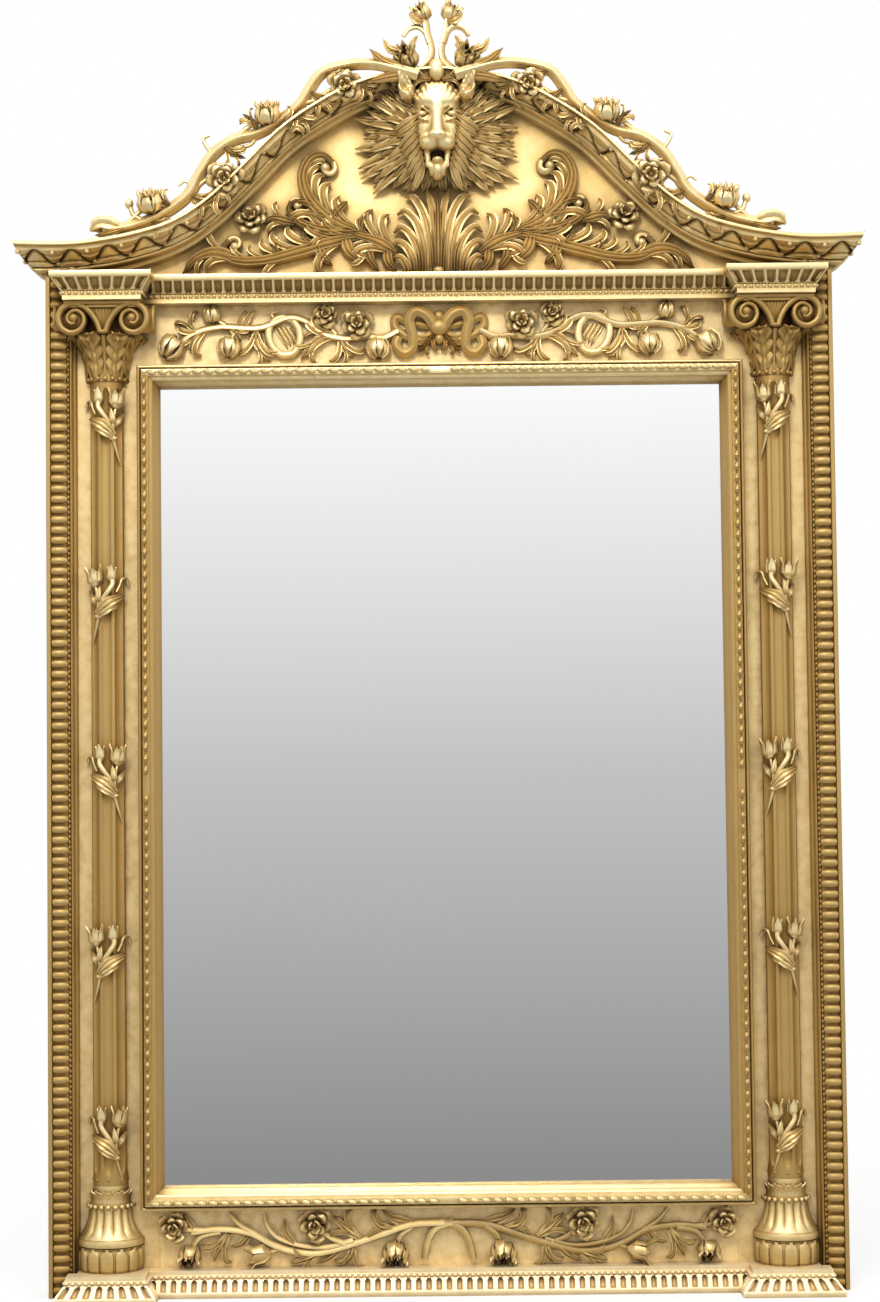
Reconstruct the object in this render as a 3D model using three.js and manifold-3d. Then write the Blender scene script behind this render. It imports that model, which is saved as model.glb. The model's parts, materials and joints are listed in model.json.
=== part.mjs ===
// A tall carved and gilded wall mirror: a glazed carcass with half columns, an entablature, and an
// arched pediment with a lion mask. Millimetres, +Z up, the front faces -Y, and the origin is the
// centre of the underside of the bottom rail.
import * as THREE from "three";
import { mergeVertices } from "three/addons/utils/BufferGeometryUtils.js";
import Module from "manifold-3d";

const wasm = await Module();
wasm.setup();

// ---------------------------------------------------------------- driving sizes
const GAP = 0.3; // fitting gap between pieces that touch

// glass and carcass
const SIGHT_W = 792; // width of the glass that shows
const SIGHT_H = 1118; // height of the glass that shows
const REBATE = 6; // how far the carcass opening stands outside the glass that shows
const GLASS_PLAY = 0.6; // play of the glass in the carcass opening, all round
const GLASS_T = 5;
const BOARD_T = 6;
const CARCASS_T = 28;
const LIP_BACK = 8; // how far the glass lies behind the ground
const BATTEN_T = 18;
const BATTEN_W = 60;
const BATTEN_INSET = 2; // how far the bottom batten stops short of the carcass opening
const BATTEN_Z = 22; // underside of the bottom batten
const BRACE_X = 205;
const BRACE_DROP = 110; // how far the crest braces reach down behind the top rail
const BRACE_RISE = 105; // and up behind the pediment

// heights of the bands, from the underside up
const BASE_H = 35;
const BOTTOM_FRIEZE_H = 81;
const SIGHT_MOULD_W = 30;
const TOP_FRIEZE_H = 86;
const ENTABLATURE_H = 38;

// sideways setting out, from the sight moulding outwards
const COLUMN_MARGIN = 43.5; // outer edge of the sight moulding to the column's axis
const SIDE_MARGIN = 42.5; // column's axis to the inner edge of the side moulding
const SIDE_MOULD_W = 40;

// entablature and base mouldings
const FLARE = 16; // how far their profile spreads from its near edge to its far edge
const BLOCK_HALF_W = 54.5; // half width of a block at the near edge
const BLOCK_PROUD = 64; // how far a block stands in front of the ground at the near edge
const CENTRE_PROUD = 28;

// columns
const SHAFT_R = 24.6;
const FLUTES = 8; // flutes round a whole shaft
const FLUTE_DEPTH = 3.4;
const COLUMN_BASE_H = 116;
const CAPITAL_H = 108;
const DRUM_R = 46;
const VOLUTE_R = 21;
const VOLUTE_X = 45;
const CAPITAL_PROUD = 60;
const ABACUS_T = 13;
const NECK_HALF = 36; // half width of the block behind the volutes
const FLOWERS = 5; // carved flowers up each column
const FLOWER_H = 88;
const FLOWER_PROUD = 13;
const FLOWER_END = 70; // centre of the lowest and highest flower from the shaft's ends

// pediment
const TIP_OVERHANG = 42; // how far the cornice's tip reaches past the body
const TIP_H = 47;
const CORNICE_PROUD = 70;
const ARCH_RISE = 255; // inner edge of the cornice above the entablature, at the middle
const ARCH_BAND = 40; // width of the cornice over the arch

// lion mask
const MANE_T = 28;
const MANE_HALF_W = 118;
const MANE_LOW = 118; // lowest lock above the entablature
const HEAD_Z = 204; // middle of the head above the entablature

// carving
const CARVING_PROUD = 30;
const STEM_R = 6.5;
const ROSE_R = 19;

// ring hangers on the back
const HANGER_Z = 1150;
const STRAP_T = 1.5;
const STRAP_W = 15;
const STRAP_L = 46;
const RING_WIRE_R = 2;
const RING_HALF_W = 13;
const RING_DROP = 24;
const EYE_PLAY = 0.45; // between the ring's bar and the rolled eye
const SCREW_HEAD_R = 3.6;
const SCREW_HEAD_T = 1.6;
const SCREW_R = 1.75;
const SCREW_L = 18; // screw's shank in the stile
const SCREW_DROP = 37; // from the eye's axis down to the screw

// ---------------------------------------------------------------- levels that follow
const ground = -CARCASS_T / 2; // front face of the carcass
const back = CARCASS_T / 2;
const sightHalf = SIGHT_W / 2;
const openingHalf = sightHalf + REBATE;
const sightOuter = sightHalf + SIGHT_MOULD_W;
const columnX = sightOuter + COLUMN_MARGIN;
const sideInner = columnX + SIDE_MARGIN;
const bodyHalf = sideInner + SIDE_MOULD_W;
const glassLow = BASE_H + BOTTOM_FRIEZE_H + SIGHT_MOULD_W;
const glassHigh = glassLow + SIGHT_H;
const friezeLow = glassHigh + SIGHT_MOULD_W;
const entablatureLow = friezeLow + TOP_FRIEZE_H;
const top = entablatureLow + ENTABLATURE_H;
const face = ground - GAP; // where applied pieces sit

// ---------------------------------------------------------------- colours
const paint = (color, roughness, metalness) =>
  new THREE.MeshStandardMaterial({ color, roughness, metalness });
const giltFlat = paint(0xc9a868, 0.42, 0.75);
const giltCarved = paint(0xd8b46a, 0.36, 0.85);
const silvered = paint(0xdcdcdc, 0.03, 1);
const pine = paint(0xb08d5e, 0.8, 0);
const steel = paint(0x9a9a98, 0.35, 1);

// ---------------------------------------------------------------- building blocks
function solidOf(geometry) {
  const plain = geometry.index ? geometry.toNonIndexed() : geometry.clone();
  for (const extra of ["normal", "uv"]) plain.deleteAttribute(extra);
  const merged = mergeVertices(plain, 1e-4);
  const triVerts = new Uint32Array(merged.index.array);
  const make = () =>
    new wasm.Manifold(
      new wasm.Mesh({ numProp: 3, vertProperties: merged.attributes.position.array, triVerts }),
    );
  const made = make();
  if (made.volume() >= 0) return made;
  for (let i = 0; i < triVerts.length; i += 3)
    [triVerts[i + 1], triVerts[i + 2]] = [triVerts[i + 2], triVerts[i + 1]];
  return make();
}

function geometryOf(solid) {
  const { vertProperties, triVerts } = solid.getMesh();
  return new THREE.BufferGeometry()
    .setAttribute("position", new THREE.BufferAttribute(vertProperties, 3))
    .setIndex(new THREE.BufferAttribute(triVerts, 1));
}

const join = (solids) => solids.reduce((all, next) => all.add(next));
const inFrontOf = (solid, y) => solid.trimByPlane([0, -1, 0], -y);
const largest = (solid) =>
  solid.decompose().reduce((most, next) => (next.volume() > most.volume() ? next : most));

// A solid through rings of points, each with as many points as the first. flat() gives the plane in
// which the two end rings are filled, and without it the last ring joins the first.
function loft(rings, flat) {
  const count = rings[0].length;
  const corners = rings.flat();
  const triangles = [];
  for (let r = flat ? 1 : 0; r < rings.length; r++)
    for (let i = 0; i < count; i++) {
      const [before, after] = [((r + rings.length - 1) % rings.length) * count, r * count];
      const j = (i + 1) % count;
      triangles.push([before + i, before + j, after + j], [before + i, after + j, after + i]);
    }
  if (flat) {
    const outline = rings[0].map(flat);
    const last = (rings.length - 1) * count;
    for (const filled of THREE.ShapeUtils.triangulateShape(outline.slice(), [])) {
      const turn = THREE.ShapeUtils.area(filled.map((i) => outline[i]));
      const [p, q, r] = turn * THREE.ShapeUtils.area(outline) > 0 ? filled : filled.toReversed();
      triangles.push([p, r, q], [last + p, last + q, last + r]);
    }
  }
  const positions = new Float32Array(triangles.flat().flatMap((i) => corners[i].toArray()));
  const geometry = new THREE.BufferGeometry();
  return solidOf(geometry.setAttribute("position", new THREE.BufferAttribute(positions, 3)));
}

const seenFromTop = (p) => new THREE.Vector2(p.x, p.y);
const seenFromSide = (p) => new THREE.Vector2(p.y, p.z);
const at = (x, y, z) => new THREE.Vector3(x, y, z);

function box(x0, x1, y0, y1, z0, z1) {
  const geometry = new THREE.BoxGeometry(x1 - x0, y1 - y0, z1 - z0);
  return solidOf(geometry.translate((x0 + x1) / 2, (y0 + y1) / 2, (z0 + z1) / 2));
}

// An outline of [x, z] points or a Shape, from depth y forward by thickness.
function board(outline, y, thickness, curveSegments = 4) {
  const points = Array.isArray(outline) && outline.map(([x, z]) => new THREE.Vector2(x, z));
  const shape = points ? new THREE.Shape(points) : outline;
  const geometry = new THREE.ExtrudeGeometry(shape, { depth: thickness, bevelEnabled: false, curveSegments });
  return solidOf(geometry.rotateX(Math.PI / 2).translate(0, y, 0));
}

function ball(x, y, z, rx, ry = rx, rz = rx, across = 7, up = 4) {
  const geometry = new THREE.SphereGeometry(1, across, up);
  return solidOf(geometry.rotateX(Math.PI / 2).scale(rx, ry, rz).translate(x, y, z));
}

// The points of a round section about a centre, square to the direction along.
function roundRing(centre, along, radius, sides) {
  const across = at(-along.z, 0, along.x);
  return Array.from({ length: sides }, (_, k) => {
    const turn = (2 * Math.PI * k) / sides;
    return centre.clone().addScaledVector(across, radius * Math.cos(turn)).add(at(0, radius * Math.sin(turn), 0));
  });
}

// A round stem of changing radius through [x, z] points at one depth.
function stem(points, y, radius, endRadius = radius, sides = 4) {
  const curve = new THREE.CatmullRomCurve3(points.map(([x, z]) => at(x, y, z)));
  const steps = points.length + 1;
  const rings = Array.from({ length: steps + 1 }, (_, i) => {
    const r = THREE.MathUtils.lerp(radius, endRadius, i / steps);
    return roundRing(curve.getPointAt(i / steps), curve.getTangentAt(i / steps), r, sides);
  });
  const start = curve.getTangentAt(0);
  return loft(rings, (p) => new THREE.Vector2(p.z * start.x - p.x * start.z, p.y));
}

// A leaf from its base to its tip, as wide as width, bowed to its left by bow.
function leaf([x0, z0], [x1, z1], width, y, thickness, bow = 0) {
  const [dx, dz] = [x1 - x0, z1 - z0];
  const length = Math.hypot(dx, dz);
  const spot = (t, side) => [
    x0 + dx * t - (dz / length) * (side * width + 4 * t * (1 - t) * bow),
    z0 + dz * t + (dx / length) * (side * width + 4 * t * (1 - t) * bow),
  ];
  const outline = [spot(0, 0.15), spot(0.5, 0.5), spot(1, 0), spot(0.5, -0.5), spot(0, -0.15)];
  return board(outline, y, thickness);
}

// ---------------------------------------------------------------- the assembly
const mirror = new THREE.Group();
function add(name, solid, material) {
  const mesh = new THREE.Mesh(geometryOf(solid), material);
  mesh.name = name;
  mirror.add(mesh);
}
const sides = [
  ["left", -1],
  ["right", 1],
];
const across = (s, a, b) => (s > 0 ? [a, b] : [-b, -a]);
const sided = (points, s) => points.map(([x, z]) => [s * x, z]);

// ---------------------------------------------------------------- carcass, glass and back
const hangerX = (openingHalf + bodyHalf) / 2;
const rod = (x, z, radius, y0, y1, segments = 12) =>
  solidOf(new THREE.CylinderGeometry(radius, radius, y1 - y0, segments).translate(x, (y0 + y1) / 2, z));
for (const [side, s] of sides) {
  const pilot = rod(s * hangerX, HANGER_Z - SCREW_DROP, SCREW_R + GAP, back - SCREW_L - GAP, back + 1);
  const stile = box(...across(s, openingHalf, bodyHalf), ground, back, 0, top);
  add(`stile_${side}`, stile.subtract(pilot), giltFlat);
}
const railHalf = openingHalf - GAP;
const carcassRail = (z0, z1) => box(-railHalf, railHalf, ground, back, z0, z1);
add("bottom_rail", carcassRail(0, glassLow - REBATE), giltFlat);
add("top_rail", carcassRail(glassHigh + REBATE, top), giltFlat);

const glassFront = ground + LIP_BACK + GAP;
const glassEdge = REBATE - GLASS_PLAY;
const sheet = (y0, y1) =>
  box(-sightHalf - glassEdge, sightHalf + glassEdge, y0, y1, glassLow - glassEdge, glassHigh + glassEdge);
add("mirror_glass", sheet(glassFront, glassFront + GLASS_T), silvered);
const boardFront = glassFront + GLASS_T + GAP;
add("backboard", sheet(boardFront, boardFront + BOARD_T), pine);

// ---------------------------------------------------------------- sight moulding
// [distance out from the edge of the glass that shows, height in front of the ground]
const beadOut = 0.56 * SIGHT_MOULD_W;
const sightSection = [
  [0, -LIP_BACK],
  [0, -LIP_BACK / 2],
  [beadOut - 4, 31],
  [beadOut, 36],
  [beadOut + 4, 32],
  [beadOut + 6.5, 21],
  [SIGHT_MOULD_W, 16],
  [SIGHT_MOULD_W, GAP],
  [REBATE - GAP, GAP],
  [REBATE - GAP, -LIP_BACK],
];
for (const [side, s] of sides) {
  const end = (z, way) =>
    sightSection.map(([out, proud]) => at(s * (sightHalf + out), ground - proud, z + way * (out - GAP)));
  add(`sight_moulding_${side}`, loft([end(glassLow, -1), end(glassHigh, 1)], seenFromTop), giltCarved);
}
for (const [name, z, way] of [
  ["bottom", glassLow, -1],
  ["top", glassHigh, 1],
]) {
  const end = (s) =>
    sightSection.map(([out, proud]) => at(s * (sightHalf + out), ground - proud, z + way * out));
  add(`sight_moulding_${name}`, loft([end(-1), end(1)], seenFromSide), giltCarved);
}

// ---------------------------------------------------------------- side mouldings
// [distance out from the inner edge, height in front of the ground]
const sideProud = 36;
const gadroonOut = 12;
const filletW = 7;
const sideSection = [
  [0, GAP],
  [0, 7],
  [4, 9],
  [6, 19],
  [gadroonOut - 1, 20],
  [gadroonOut + 2, 31],
  [gadroonOut + 8, sideProud],
  [SIDE_MOULD_W - filletW - 4, sideProud - 1],
  [SIDE_MOULD_W - filletW, sideProud - 5],
  [SIDE_MOULD_W, sideProud - 5],
  [SIDE_MOULD_W, GAP],
];
for (const [side, s] of sides) {
  const end = (z) => sideSection.map(([out, proud]) => at(s * (sideInner + out), ground - proud, z));
  add(`fluted_moulding_${side}`, loft([end(0), end(top)], seenFromTop), giltCarved);
}

// ---------------------------------------------------------------- base and entablature
// The same profile serves both, upside down: [share of the flare, share of the height].
const flaredProfile = [
  [0, 0],
  [0, 0.1],
  [0.14, 0.16],
  [0.14, 0.26],
  [0.3, 0.34],
  [0.72, 0.58],
  [0.94, 0.72],
  [1, 0.74],
  [1, 1],
];
function flaredCentre(level) {
  const ring = ([flare, up]) => {
    const out = flare * FLARE;
    const x = columnX - BLOCK_HALF_W - out - GAP;
    const front = ground - CENTRE_PROUD - out;
    const z = level(up);
    return [at(-x, face, z), at(-x, front, z), at(x, front, z), at(x, face, z)];
  };
  return loft(flaredProfile.map(ring), seenFromTop);
}
function flaredBlock(s, level) {
  const ring = ([flare, up]) => {
    const out = flare * FLARE;
    const inner = columnX - BLOCK_HALF_W - out;
    const outer = columnX + BLOCK_HALF_W + out;
    const front = ground - BLOCK_PROUD - out;
    const sideFace = ground - sideProud - GAP;
    const step = sideInner - GAP;
    const outline = [[inner, face], [inner, front], [outer, front], [outer, sideFace], [step, sideFace], [step, face]];
    return outline.map(([x, y]) => at(s * x, y, level(up)));
  };
  return loft(flaredProfile.map(ring), seenFromTop);
}
const baseLevel = (up) => BASE_H * (1 - up);
const entablatureLevel = (up) => entablatureLow + ENTABLATURE_H * up;
add("base_moulding", flaredCentre(baseLevel), giltCarved);
add("entablature", flaredCentre(entablatureLevel), giltCarved);
for (const [side, s] of sides) {
  add(`plinth_${side}`, flaredBlock(s, baseLevel), giltCarved);
  add(`entablature_block_${side}`, flaredBlock(s, entablatureLevel), giltCarved);
}

// ---------------------------------------------------------------- half columns
const shaftLow = BASE_H + GAP + COLUMN_BASE_H;
const shaftHigh = entablatureLow - GAP - CAPITAL_H;
function shaftOutline(s) {
  const outline = [];
  const step = Math.PI / FLUTES;
  const parts = 4;
  for (let i = -FLUTES * parts / 4; i <= FLUTES * parts / 4; i++) {
    const turn = (i / parts) * 2 * step;
    const dip = Math.cos(turn * FLUTES / 2) ** 2;
    const r = SHAFT_R - FLUTE_DEPTH * dip;
    outline.push(at(s * columnX + r * Math.sin(turn), face - r * Math.cos(turn), 0));
  }
  return outline;
}
function turned(s, profile, segments = 20) {
  const points = profile.map(([r, z]) => new THREE.Vector2(r, z));
  const geometry = new THREE.LatheGeometry(points, segments);
  const half = inFrontOf(solidOf(geometry.rotateX(Math.PI / 2).translate(s * columnX, face, 0)), face);
  return half.trimByPlane([-s, 0, 0], GAP - sideInner); // clear of the side moulding
}
const baseTop = COLUMN_BASE_H - GAP;
const bellTop = CAPITAL_H * 0.56;
const baseProfile = [
  [0, 0],
  [DRUM_R - 3, 0],
  [DRUM_R, 5],
  [DRUM_R, 29],
  [DRUM_R - 3, 33],
  [DRUM_R + 1, 35],
  [DRUM_R + 1, 42],
  [DRUM_R - 5, 46],
  [SHAFT_R + 10, 62],
  [SHAFT_R + 6, 82],
  [SHAFT_R + 9, 85],
  [SHAFT_R + 9, 90],
  [SHAFT_R + 4, 93],
  [SHAFT_R + 5, 110],
  [SHAFT_R + 1, baseTop],
  [0, baseTop],
];
const bellProfile = [
  [0, 0],
  [SHAFT_R + 1, 0],
  [SHAFT_R + 4, 4],
  [SHAFT_R + 3, 9],
  [SHAFT_R + 4, 26],
  [SHAFT_R + 10, 44],
  [SHAFT_R + 22, bellTop],
  [0, bellTop],
];
const raise = (profile, z) => profile.map(([r, up]) => [r, up + z]);
function capital(s) {
  const low = shaftHigh + GAP;
  const high = entablatureLow - GAP;
  const x = s * columnX;
  const front = ground - CAPITAL_PROUD;
  const eye = high - VOLUTE_R - 1;
  const abacusHalf = SIDE_MARGIN - GAP;
  const parts = [
    turned(s, raise(bellProfile, low)),
    box(x - abacusHalf, x + abacusHalf, front, face, high - ABACUS_T, high),
    box(x - NECK_HALF, x + NECK_HALF, front + 8, face, low + bellTop - 8, high),
  ];
  const length = CAPITAL_PROUD - sideProud - GAP;
  for (const way of [-1, 1]) {
    const drum = new THREE.CylinderGeometry(VOLUTE_R, VOLUTE_R, length, 14);
    parts.push(solidOf(drum.translate(x + way * VOLUTE_X, front + length / 2, eye)));
  }
  return join(parts);
}
function flower(s, z, lean) {
  const x = s * columnX;
  const y = face - SHAFT_R * 0.55;
  const thick = SHAFT_R * 0.45 + FLOWER_PROUD;
  const h = FLOWER_H;
  const parts = [
    stem([[x + lean * 6, z - h / 2], [x - lean * 3, z - h * 0.24], [x, z]], y - thick * 0.72, 4.5, 4),
    leaf([x, z - 6], [x + lean * 13, z + h * 0.44], 14, y, thick),
    leaf([x - lean, z - h * 0.16], [x - lean * 15, z + h * 0.46], 22, y, thick - 1),
    leaf([x - lean * 2, z - h * 0.24], [x + lean * 18, z + h * 0.12], 14, y, thick - 5),
  ];
  const clearance = new THREE.CylinderGeometry(SHAFT_R + GAP, SHAFT_R + GAP, h * 1.4, 20);
  const shaft = solidOf(clearance.rotateX(Math.PI / 2).translate(x, face, z));
  return largest(join(parts).subtract(shaft));
}
for (const [side, s] of sides) {
  const ring = (z) => shaftOutline(s).map((p) => p.clone().setZ(z));
  add(`column_base_${side}`, turned(s, raise(baseProfile, BASE_H + GAP)), giltCarved);
  add(`column_shaft_${side}`, loft([ring(shaftLow), ring(shaftHigh)], seenFromTop), giltCarved);
  add(`column_capital_${side}`, capital(s), giltCarved);
  const low = shaftLow + FLOWER_END;
  const pitch = (shaftHigh - FLOWER_END + 20 - low) / (FLOWERS - 1);
  for (let i = 0; i < FLOWERS; i++) {
    const lean = s * (i % 2 ? -1 : 1);
    add(`column_flower_${side}_${i + 1}`, flower(s, low + i * pitch, lean), giltCarved);
  }
}

// ---------------------------------------------------------------- pediment
// Setting out for the right half: x from the middle and z above the entablature, drawn for a body
// DRAWN_HALF wide and an arch DRAWN_RISE high, and stretched to the sizes above.
const DRAWN_HALF = 552;
const DRAWN_RISE = 255;
const pedX = bodyHalf / DRAWN_HALF;
const pedZ = ARCH_RISE / DRAWN_RISE;
const pedimentPoint = ([x, z]) => [x * pedX, top + z * pedZ];
const pediment = (points, s) => sided(points.map(pedimentPoint), s);

const innerEdge = [
  [0, 255], [52, 249], [103, 236], [155, 209], [205, 174], [254, 125],
  [300, 80], [350, 43], [406, 20], [465, 6], [530, 0], [640, 0],
];
// The outer edge lies one band outside the inner edge, and levels out towards the tip.
const outwards = [
  [0, 0.75], [0.18, 0.73], [0.32, 0.68], [0.4, 0.64], [0.45, 0.6], [0.53, 0.53],
  [0.52, 0.6], [0.43, 0.78], [0.28, 0.95], [0.17, 1.04], [0, 1.08], [0, 1.18],
];
const outerEdge = innerEdge.map(([x, z], i) => [
  x + (outwards[i][0] * ARCH_BAND) / pedX,
  z + (outwards[i][1] * ARCH_BAND) / pedZ,
]);
const ARCH_STEPS = 16;
function edgeOf(points) {
  const curve = new THREE.SplineCurve(points.map(pedimentPoint).map(([x, z]) => new THREE.Vector2(x, z)));
  const samples = Array.from({ length: ARCH_STEPS + 1 }, (_, i) => curve.getPoint(i / ARCH_STEPS));
  return samples.map((p) => [p.x, Math.max(p.y, top + GAP)]);
}
const inner = edgeOf(innerEdge);
const outer = edgeOf(outerEdge);

// [share of the band from its inner edge, height in front of the ground as a share of the cornice's]
const corniceProfile = [
  [0, 0.3], [0.2, 0.32], [0.24, 0.44], [0.34, 0.5], [0.44, 0.43], [0.5, 0.45], [0.7, 0.66], [0.84, 0.9],
  [0.86, 1], [1, 1],
];
// Everything above the entablature and inside the cornice's tips, as seen from the front.
function tipOutline() {
  const tipX = bodyHalf + TIP_OVERHANG;
  const high = top + ARCH_RISE * 2;
  const shape = new THREE.Shape();
  shape.moveTo(-bodyHalf, top + GAP);
  shape.lineTo(bodyHalf, top + GAP);
  shape.quadraticCurveTo(tipX - 6, top + TIP_H * 0.45, tipX, top + TIP_H);
  shape.lineTo(tipX, high);
  shape.lineTo(-tipX, high);
  shape.lineTo(-tipX, top + TIP_H);
  shape.quadraticCurveTo(-tipX + 6, top + TIP_H * 0.45, -bodyHalf, top + GAP);
  return shape;
}
const insideTips = board(tipOutline(), back, CARCASS_T + CORNICE_PROUD + 10);

// One half of the cornice, grown by a clearance on its front and edges when it is used to cut.
function cornice(s, grow = 0) {
  const rings = inner.map(([x0, z0], i) => {
    const [x1, z1] = outer[i];
    const width = Math.hypot(x1 - x0, z1 - z0);
    const spot = (share, proud) => {
      const t = share + (share === 1 ? grow : -grow) / width;
      return at(s * (x0 + (x1 - x0) * t + GAP / 2 - grow), ground - proud - grow, z0 + (z1 - z0) * t);
    };
    const front = corniceProfile.map(([share, proud]) => spot(share, proud * CORNICE_PROUD));
    return [spot(0, GAP - 2 * grow), ...front, spot(1, GAP - 2 * grow)];
  });
  return loft(rings, (p) => new THREE.Vector2(p.y, p.z));
}
const clearOfCornice = (solid) => sides.reduce((left, [, s]) => left.subtract(cornice(s, GAP)), solid);

const archOutline = (lower) => [...lower.toReversed().map(([x, z]) => [-x, z]), ...lower.slice(1)];
const panelLow = [[(bodyHalf + TIP_OVERHANG) * 1.1, top + GAP], [-(bodyHalf + TIP_OVERHANG) * 1.1, top + GAP]];
const panel = board([...archOutline(outer), ...panelLow], back, CARCASS_T).intersect(insideTips);
add("tympanum_panel", panel, giltFlat);
for (const [side, s] of sides) {
  add(`raking_cornice_${side}`, cornice(s).intersect(insideTips), giltCarved);
}

// ---------------------------------------------------------------- lion mask
const headZ = top + HEAD_Z * pedZ;
const maneFront = face - MANE_T;
function maneOutline() {
  const locks = 28;
  const low = top + MANE_LOW * pedZ;
  const centre = headZ - 8;
  const drop = centre - low;
  return Array.from({ length: locks * 2 }, (_, i) => {
    const turn = (Math.PI * i) / locks;
    const reach = i % 2 ? 0.84 : 1;
    const squared = reach / Math.max(Math.abs(Math.cos(turn)), Math.abs(Math.sin(turn))) ** 0.7;
    return [squared * MANE_HALF_W * Math.cos(turn), centre + squared * drop * Math.sin(turn)];
  });
}
const overOpening = inner.filter(([, z]) => z > top + 3 * GAP).map(([x, z]) => [x, z - GAP]);
const archOpening = board(archOutline(overOpening), back, 200);
add("lion_mane", largest(board(maneOutline(), face, MANE_T).intersect(archOpening)), giltCarved);

function lionHead() {
  const parts = [
    ball(0, face - 54, headZ + 8, 39, 32, 42, 9, 6), // skull
    ball(0, face - 74, headZ - 32, 22, 24, 22), // muzzle
    ball(0, face - 58, headZ - 62, 19, 20, 22), // chin
    ball(0, face - 72, headZ + 76, 13), // ball over the brow
    ball(0, face - 66, headZ + 58, 16, 22, 16), // crest that carries the ball
  ];
  for (const way of [-1, 1]) {
    parts.push(ball(way * 21, face - 60, headZ - 26, 20, 20, 22)); // cheek
    parts.push(ball(way * 40, face - 46, headZ + 46, 13, 16, 18)); // ear
  }
  return largest(clearOfCornice(inFrontOf(join(parts), maneFront - GAP)));
}
add("lion_head", lionHead(), giltCarved);

// ---------------------------------------------------------------- carving on the tympanum
const onGround = (parts) => largest(inFrontOf(join(parts), face));
const rose = (x, z, r = ROSE_R) => ball(x, face - r * 0.35, z, r, r * 0.85, r);

const plumeLow = top + GAP;
function plume() {
  const leaves = [[0, 112], [-24, 108], [24, 108], [-45, 82], [45, 82], [-60, 46], [60, 46]];
  const parts = leaves.map(([x, z], i) => {
    const foot = [x * 0.22, plumeLow];
    return leaf(foot, [x * pedX, top + z * pedZ], 22, face, CARVING_PROUD - i * 2, -x * 0.12);
  });
  const clump = join([...parts, ball(0, face - 8, plumeLow + 14, 26, 22, 18)]);
  return largest(inFrontOf(clump, face).trimByPlane([0, 0, 1], plumeLow).trimByPlane([0, 0, -1], -top - MANE_LOW * pedZ + 2));
}
add("plume", plume(), giltCarved);

function acanthusScroll(s) {
  const run = (points, r0, r1) => stem(pediment(points, s), face - 5, r0, r1);
  const frond = (base, tip, width, bow) => {
    const [[from], [to]] = [pediment([base], s), pediment([tip], s)];
    return leaf(from, to, width, face, CARVING_PROUD * 0.6, s * bow);
  };
  const curl = ([x, z], r) => ball(s * x * pedX, face - r * 0.8, top + z * pedZ, r);
  const parts = [
    run([[66, 40], [80, 56], [115, 70]], 7, 9),
    run([[95, 64], [140, 78], [176, 108], [186, 146], [168, 172], [146, 158]], 10, 9),
    run([[110, 68], [160, 68], [196, 80], [208, 100]], 9, 8),
    run([[100, 66], [160, 54], [215, 40], [262, 30], [300, 34], [296, 52]], 9, 7),
    run([[255, 32], [310, 32], [340, 22]], 7, 5),
    curl([146, 156], 12),
    curl([208, 104], 10),
    curl([292, 54], 11),
    frond([140, 78], [192, 96], 26, 8),
    frond([310, 34], [362, 10], 22, 6),
    frond([120, 66], [108, 24], 20, 6),
    frond([160, 58], [146, 24], 22, 6),
    frond([245, 38], [232, 12], 20, 6),
    frond([200, 74], [240, 80], 18, -4),
    ball(s * 264 * pedX, face - 6, top + 86 * pedZ, ROSE_R, 16, ROSE_R),
  ];
  const lowest = inFrontOf(join(parts), face).trimByPlane([0, 0, 1], top + 2);
  return largest(lowest.trimByPlane([s, 0, 0], 62 * pedX + GAP).subtract(plumeClearance));
}
const plumeClearance = box(-62 * pedX - GAP, 62 * pedX + GAP, face - 60, back, top - 1, headZ);
for (const [side, s] of sides) {
  add(`acanthus_scroll_${side}`, acanthusScroll(s), giltCarved);
}

// ---------------------------------------------------------------- vine and finial on the cornice
const vineY = ground - CORNICE_PROUD * 0.8;
function crestVine(s) {
  const main = [
    [467, 60], [440, 62], [405, 72], [371, 90], [347, 110], [332, 137], [314, 164], [285, 185],
    [249, 195], [214, 216], [190, 236], [178, 256], [158, 280], [121, 290], [86, 291],
  ];
  const blossom = (x, z, r) => ball(s * x * pedX, vineY, top + z * pedZ, r, r * 0.8, r);
  const parts = [
    stem(pediment(main, s), vineY, STEM_R),
    blossom(462, 64, 13),
    blossom(402, 95, 17),
    blossom(302, 146, 19),
    blossom(238, 219, 17),
    blossom(130, 262, 19),
    stem(pediment([[402, 70], [402, 95]], s), vineY, 5),
    stem(pediment([[245, 196], [238, 215]], s), vineY, 5),
    stem(pediment([[330, 140], [302, 146]], s), vineY, 5),
    stem(pediment([[150, 284], [130, 264]], s), vineY, 5),
  ];
  return largest(clearOfCornice(join(parts)));
}
function finial() {
  const up = (z) => top + z * pedZ;
  const parts = [
    ball(0, vineY, up(312), 16, 14, 22),
    rose(0, up(318), 10).translate([0, vineY - face, 0]),
  ];
  for (const [, s] of sides) {
    const run = (points, r0, r1) => stem(pediment(points, s), vineY, r0, r1);
    const blossom = (x, z, r) => ball(s * x * pedX, vineY, up(z), r, r * 0.8, r);
    parts.push(
      run([[4, 300], [16, 318], [14, 340], [20, 356]], 9, 7),
      run([[10, 304], [46, 300]], 9, 9),
      blossom(44, 303, 22),
      blossom(20, 368, 17),
      leaf([s * 30 * pedX, up(300)], [s * 75 * pedX, up(326)], 16, vineY + 7, 14, s * 6),
    );
  }
  return largest(clearOfCornice(join(parts)));
}
for (const [side, s] of sides) add(`crest_vine_${side}`, crestVine(s), giltCarved);
add("crest_finial", finial(), giltCarved);

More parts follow.
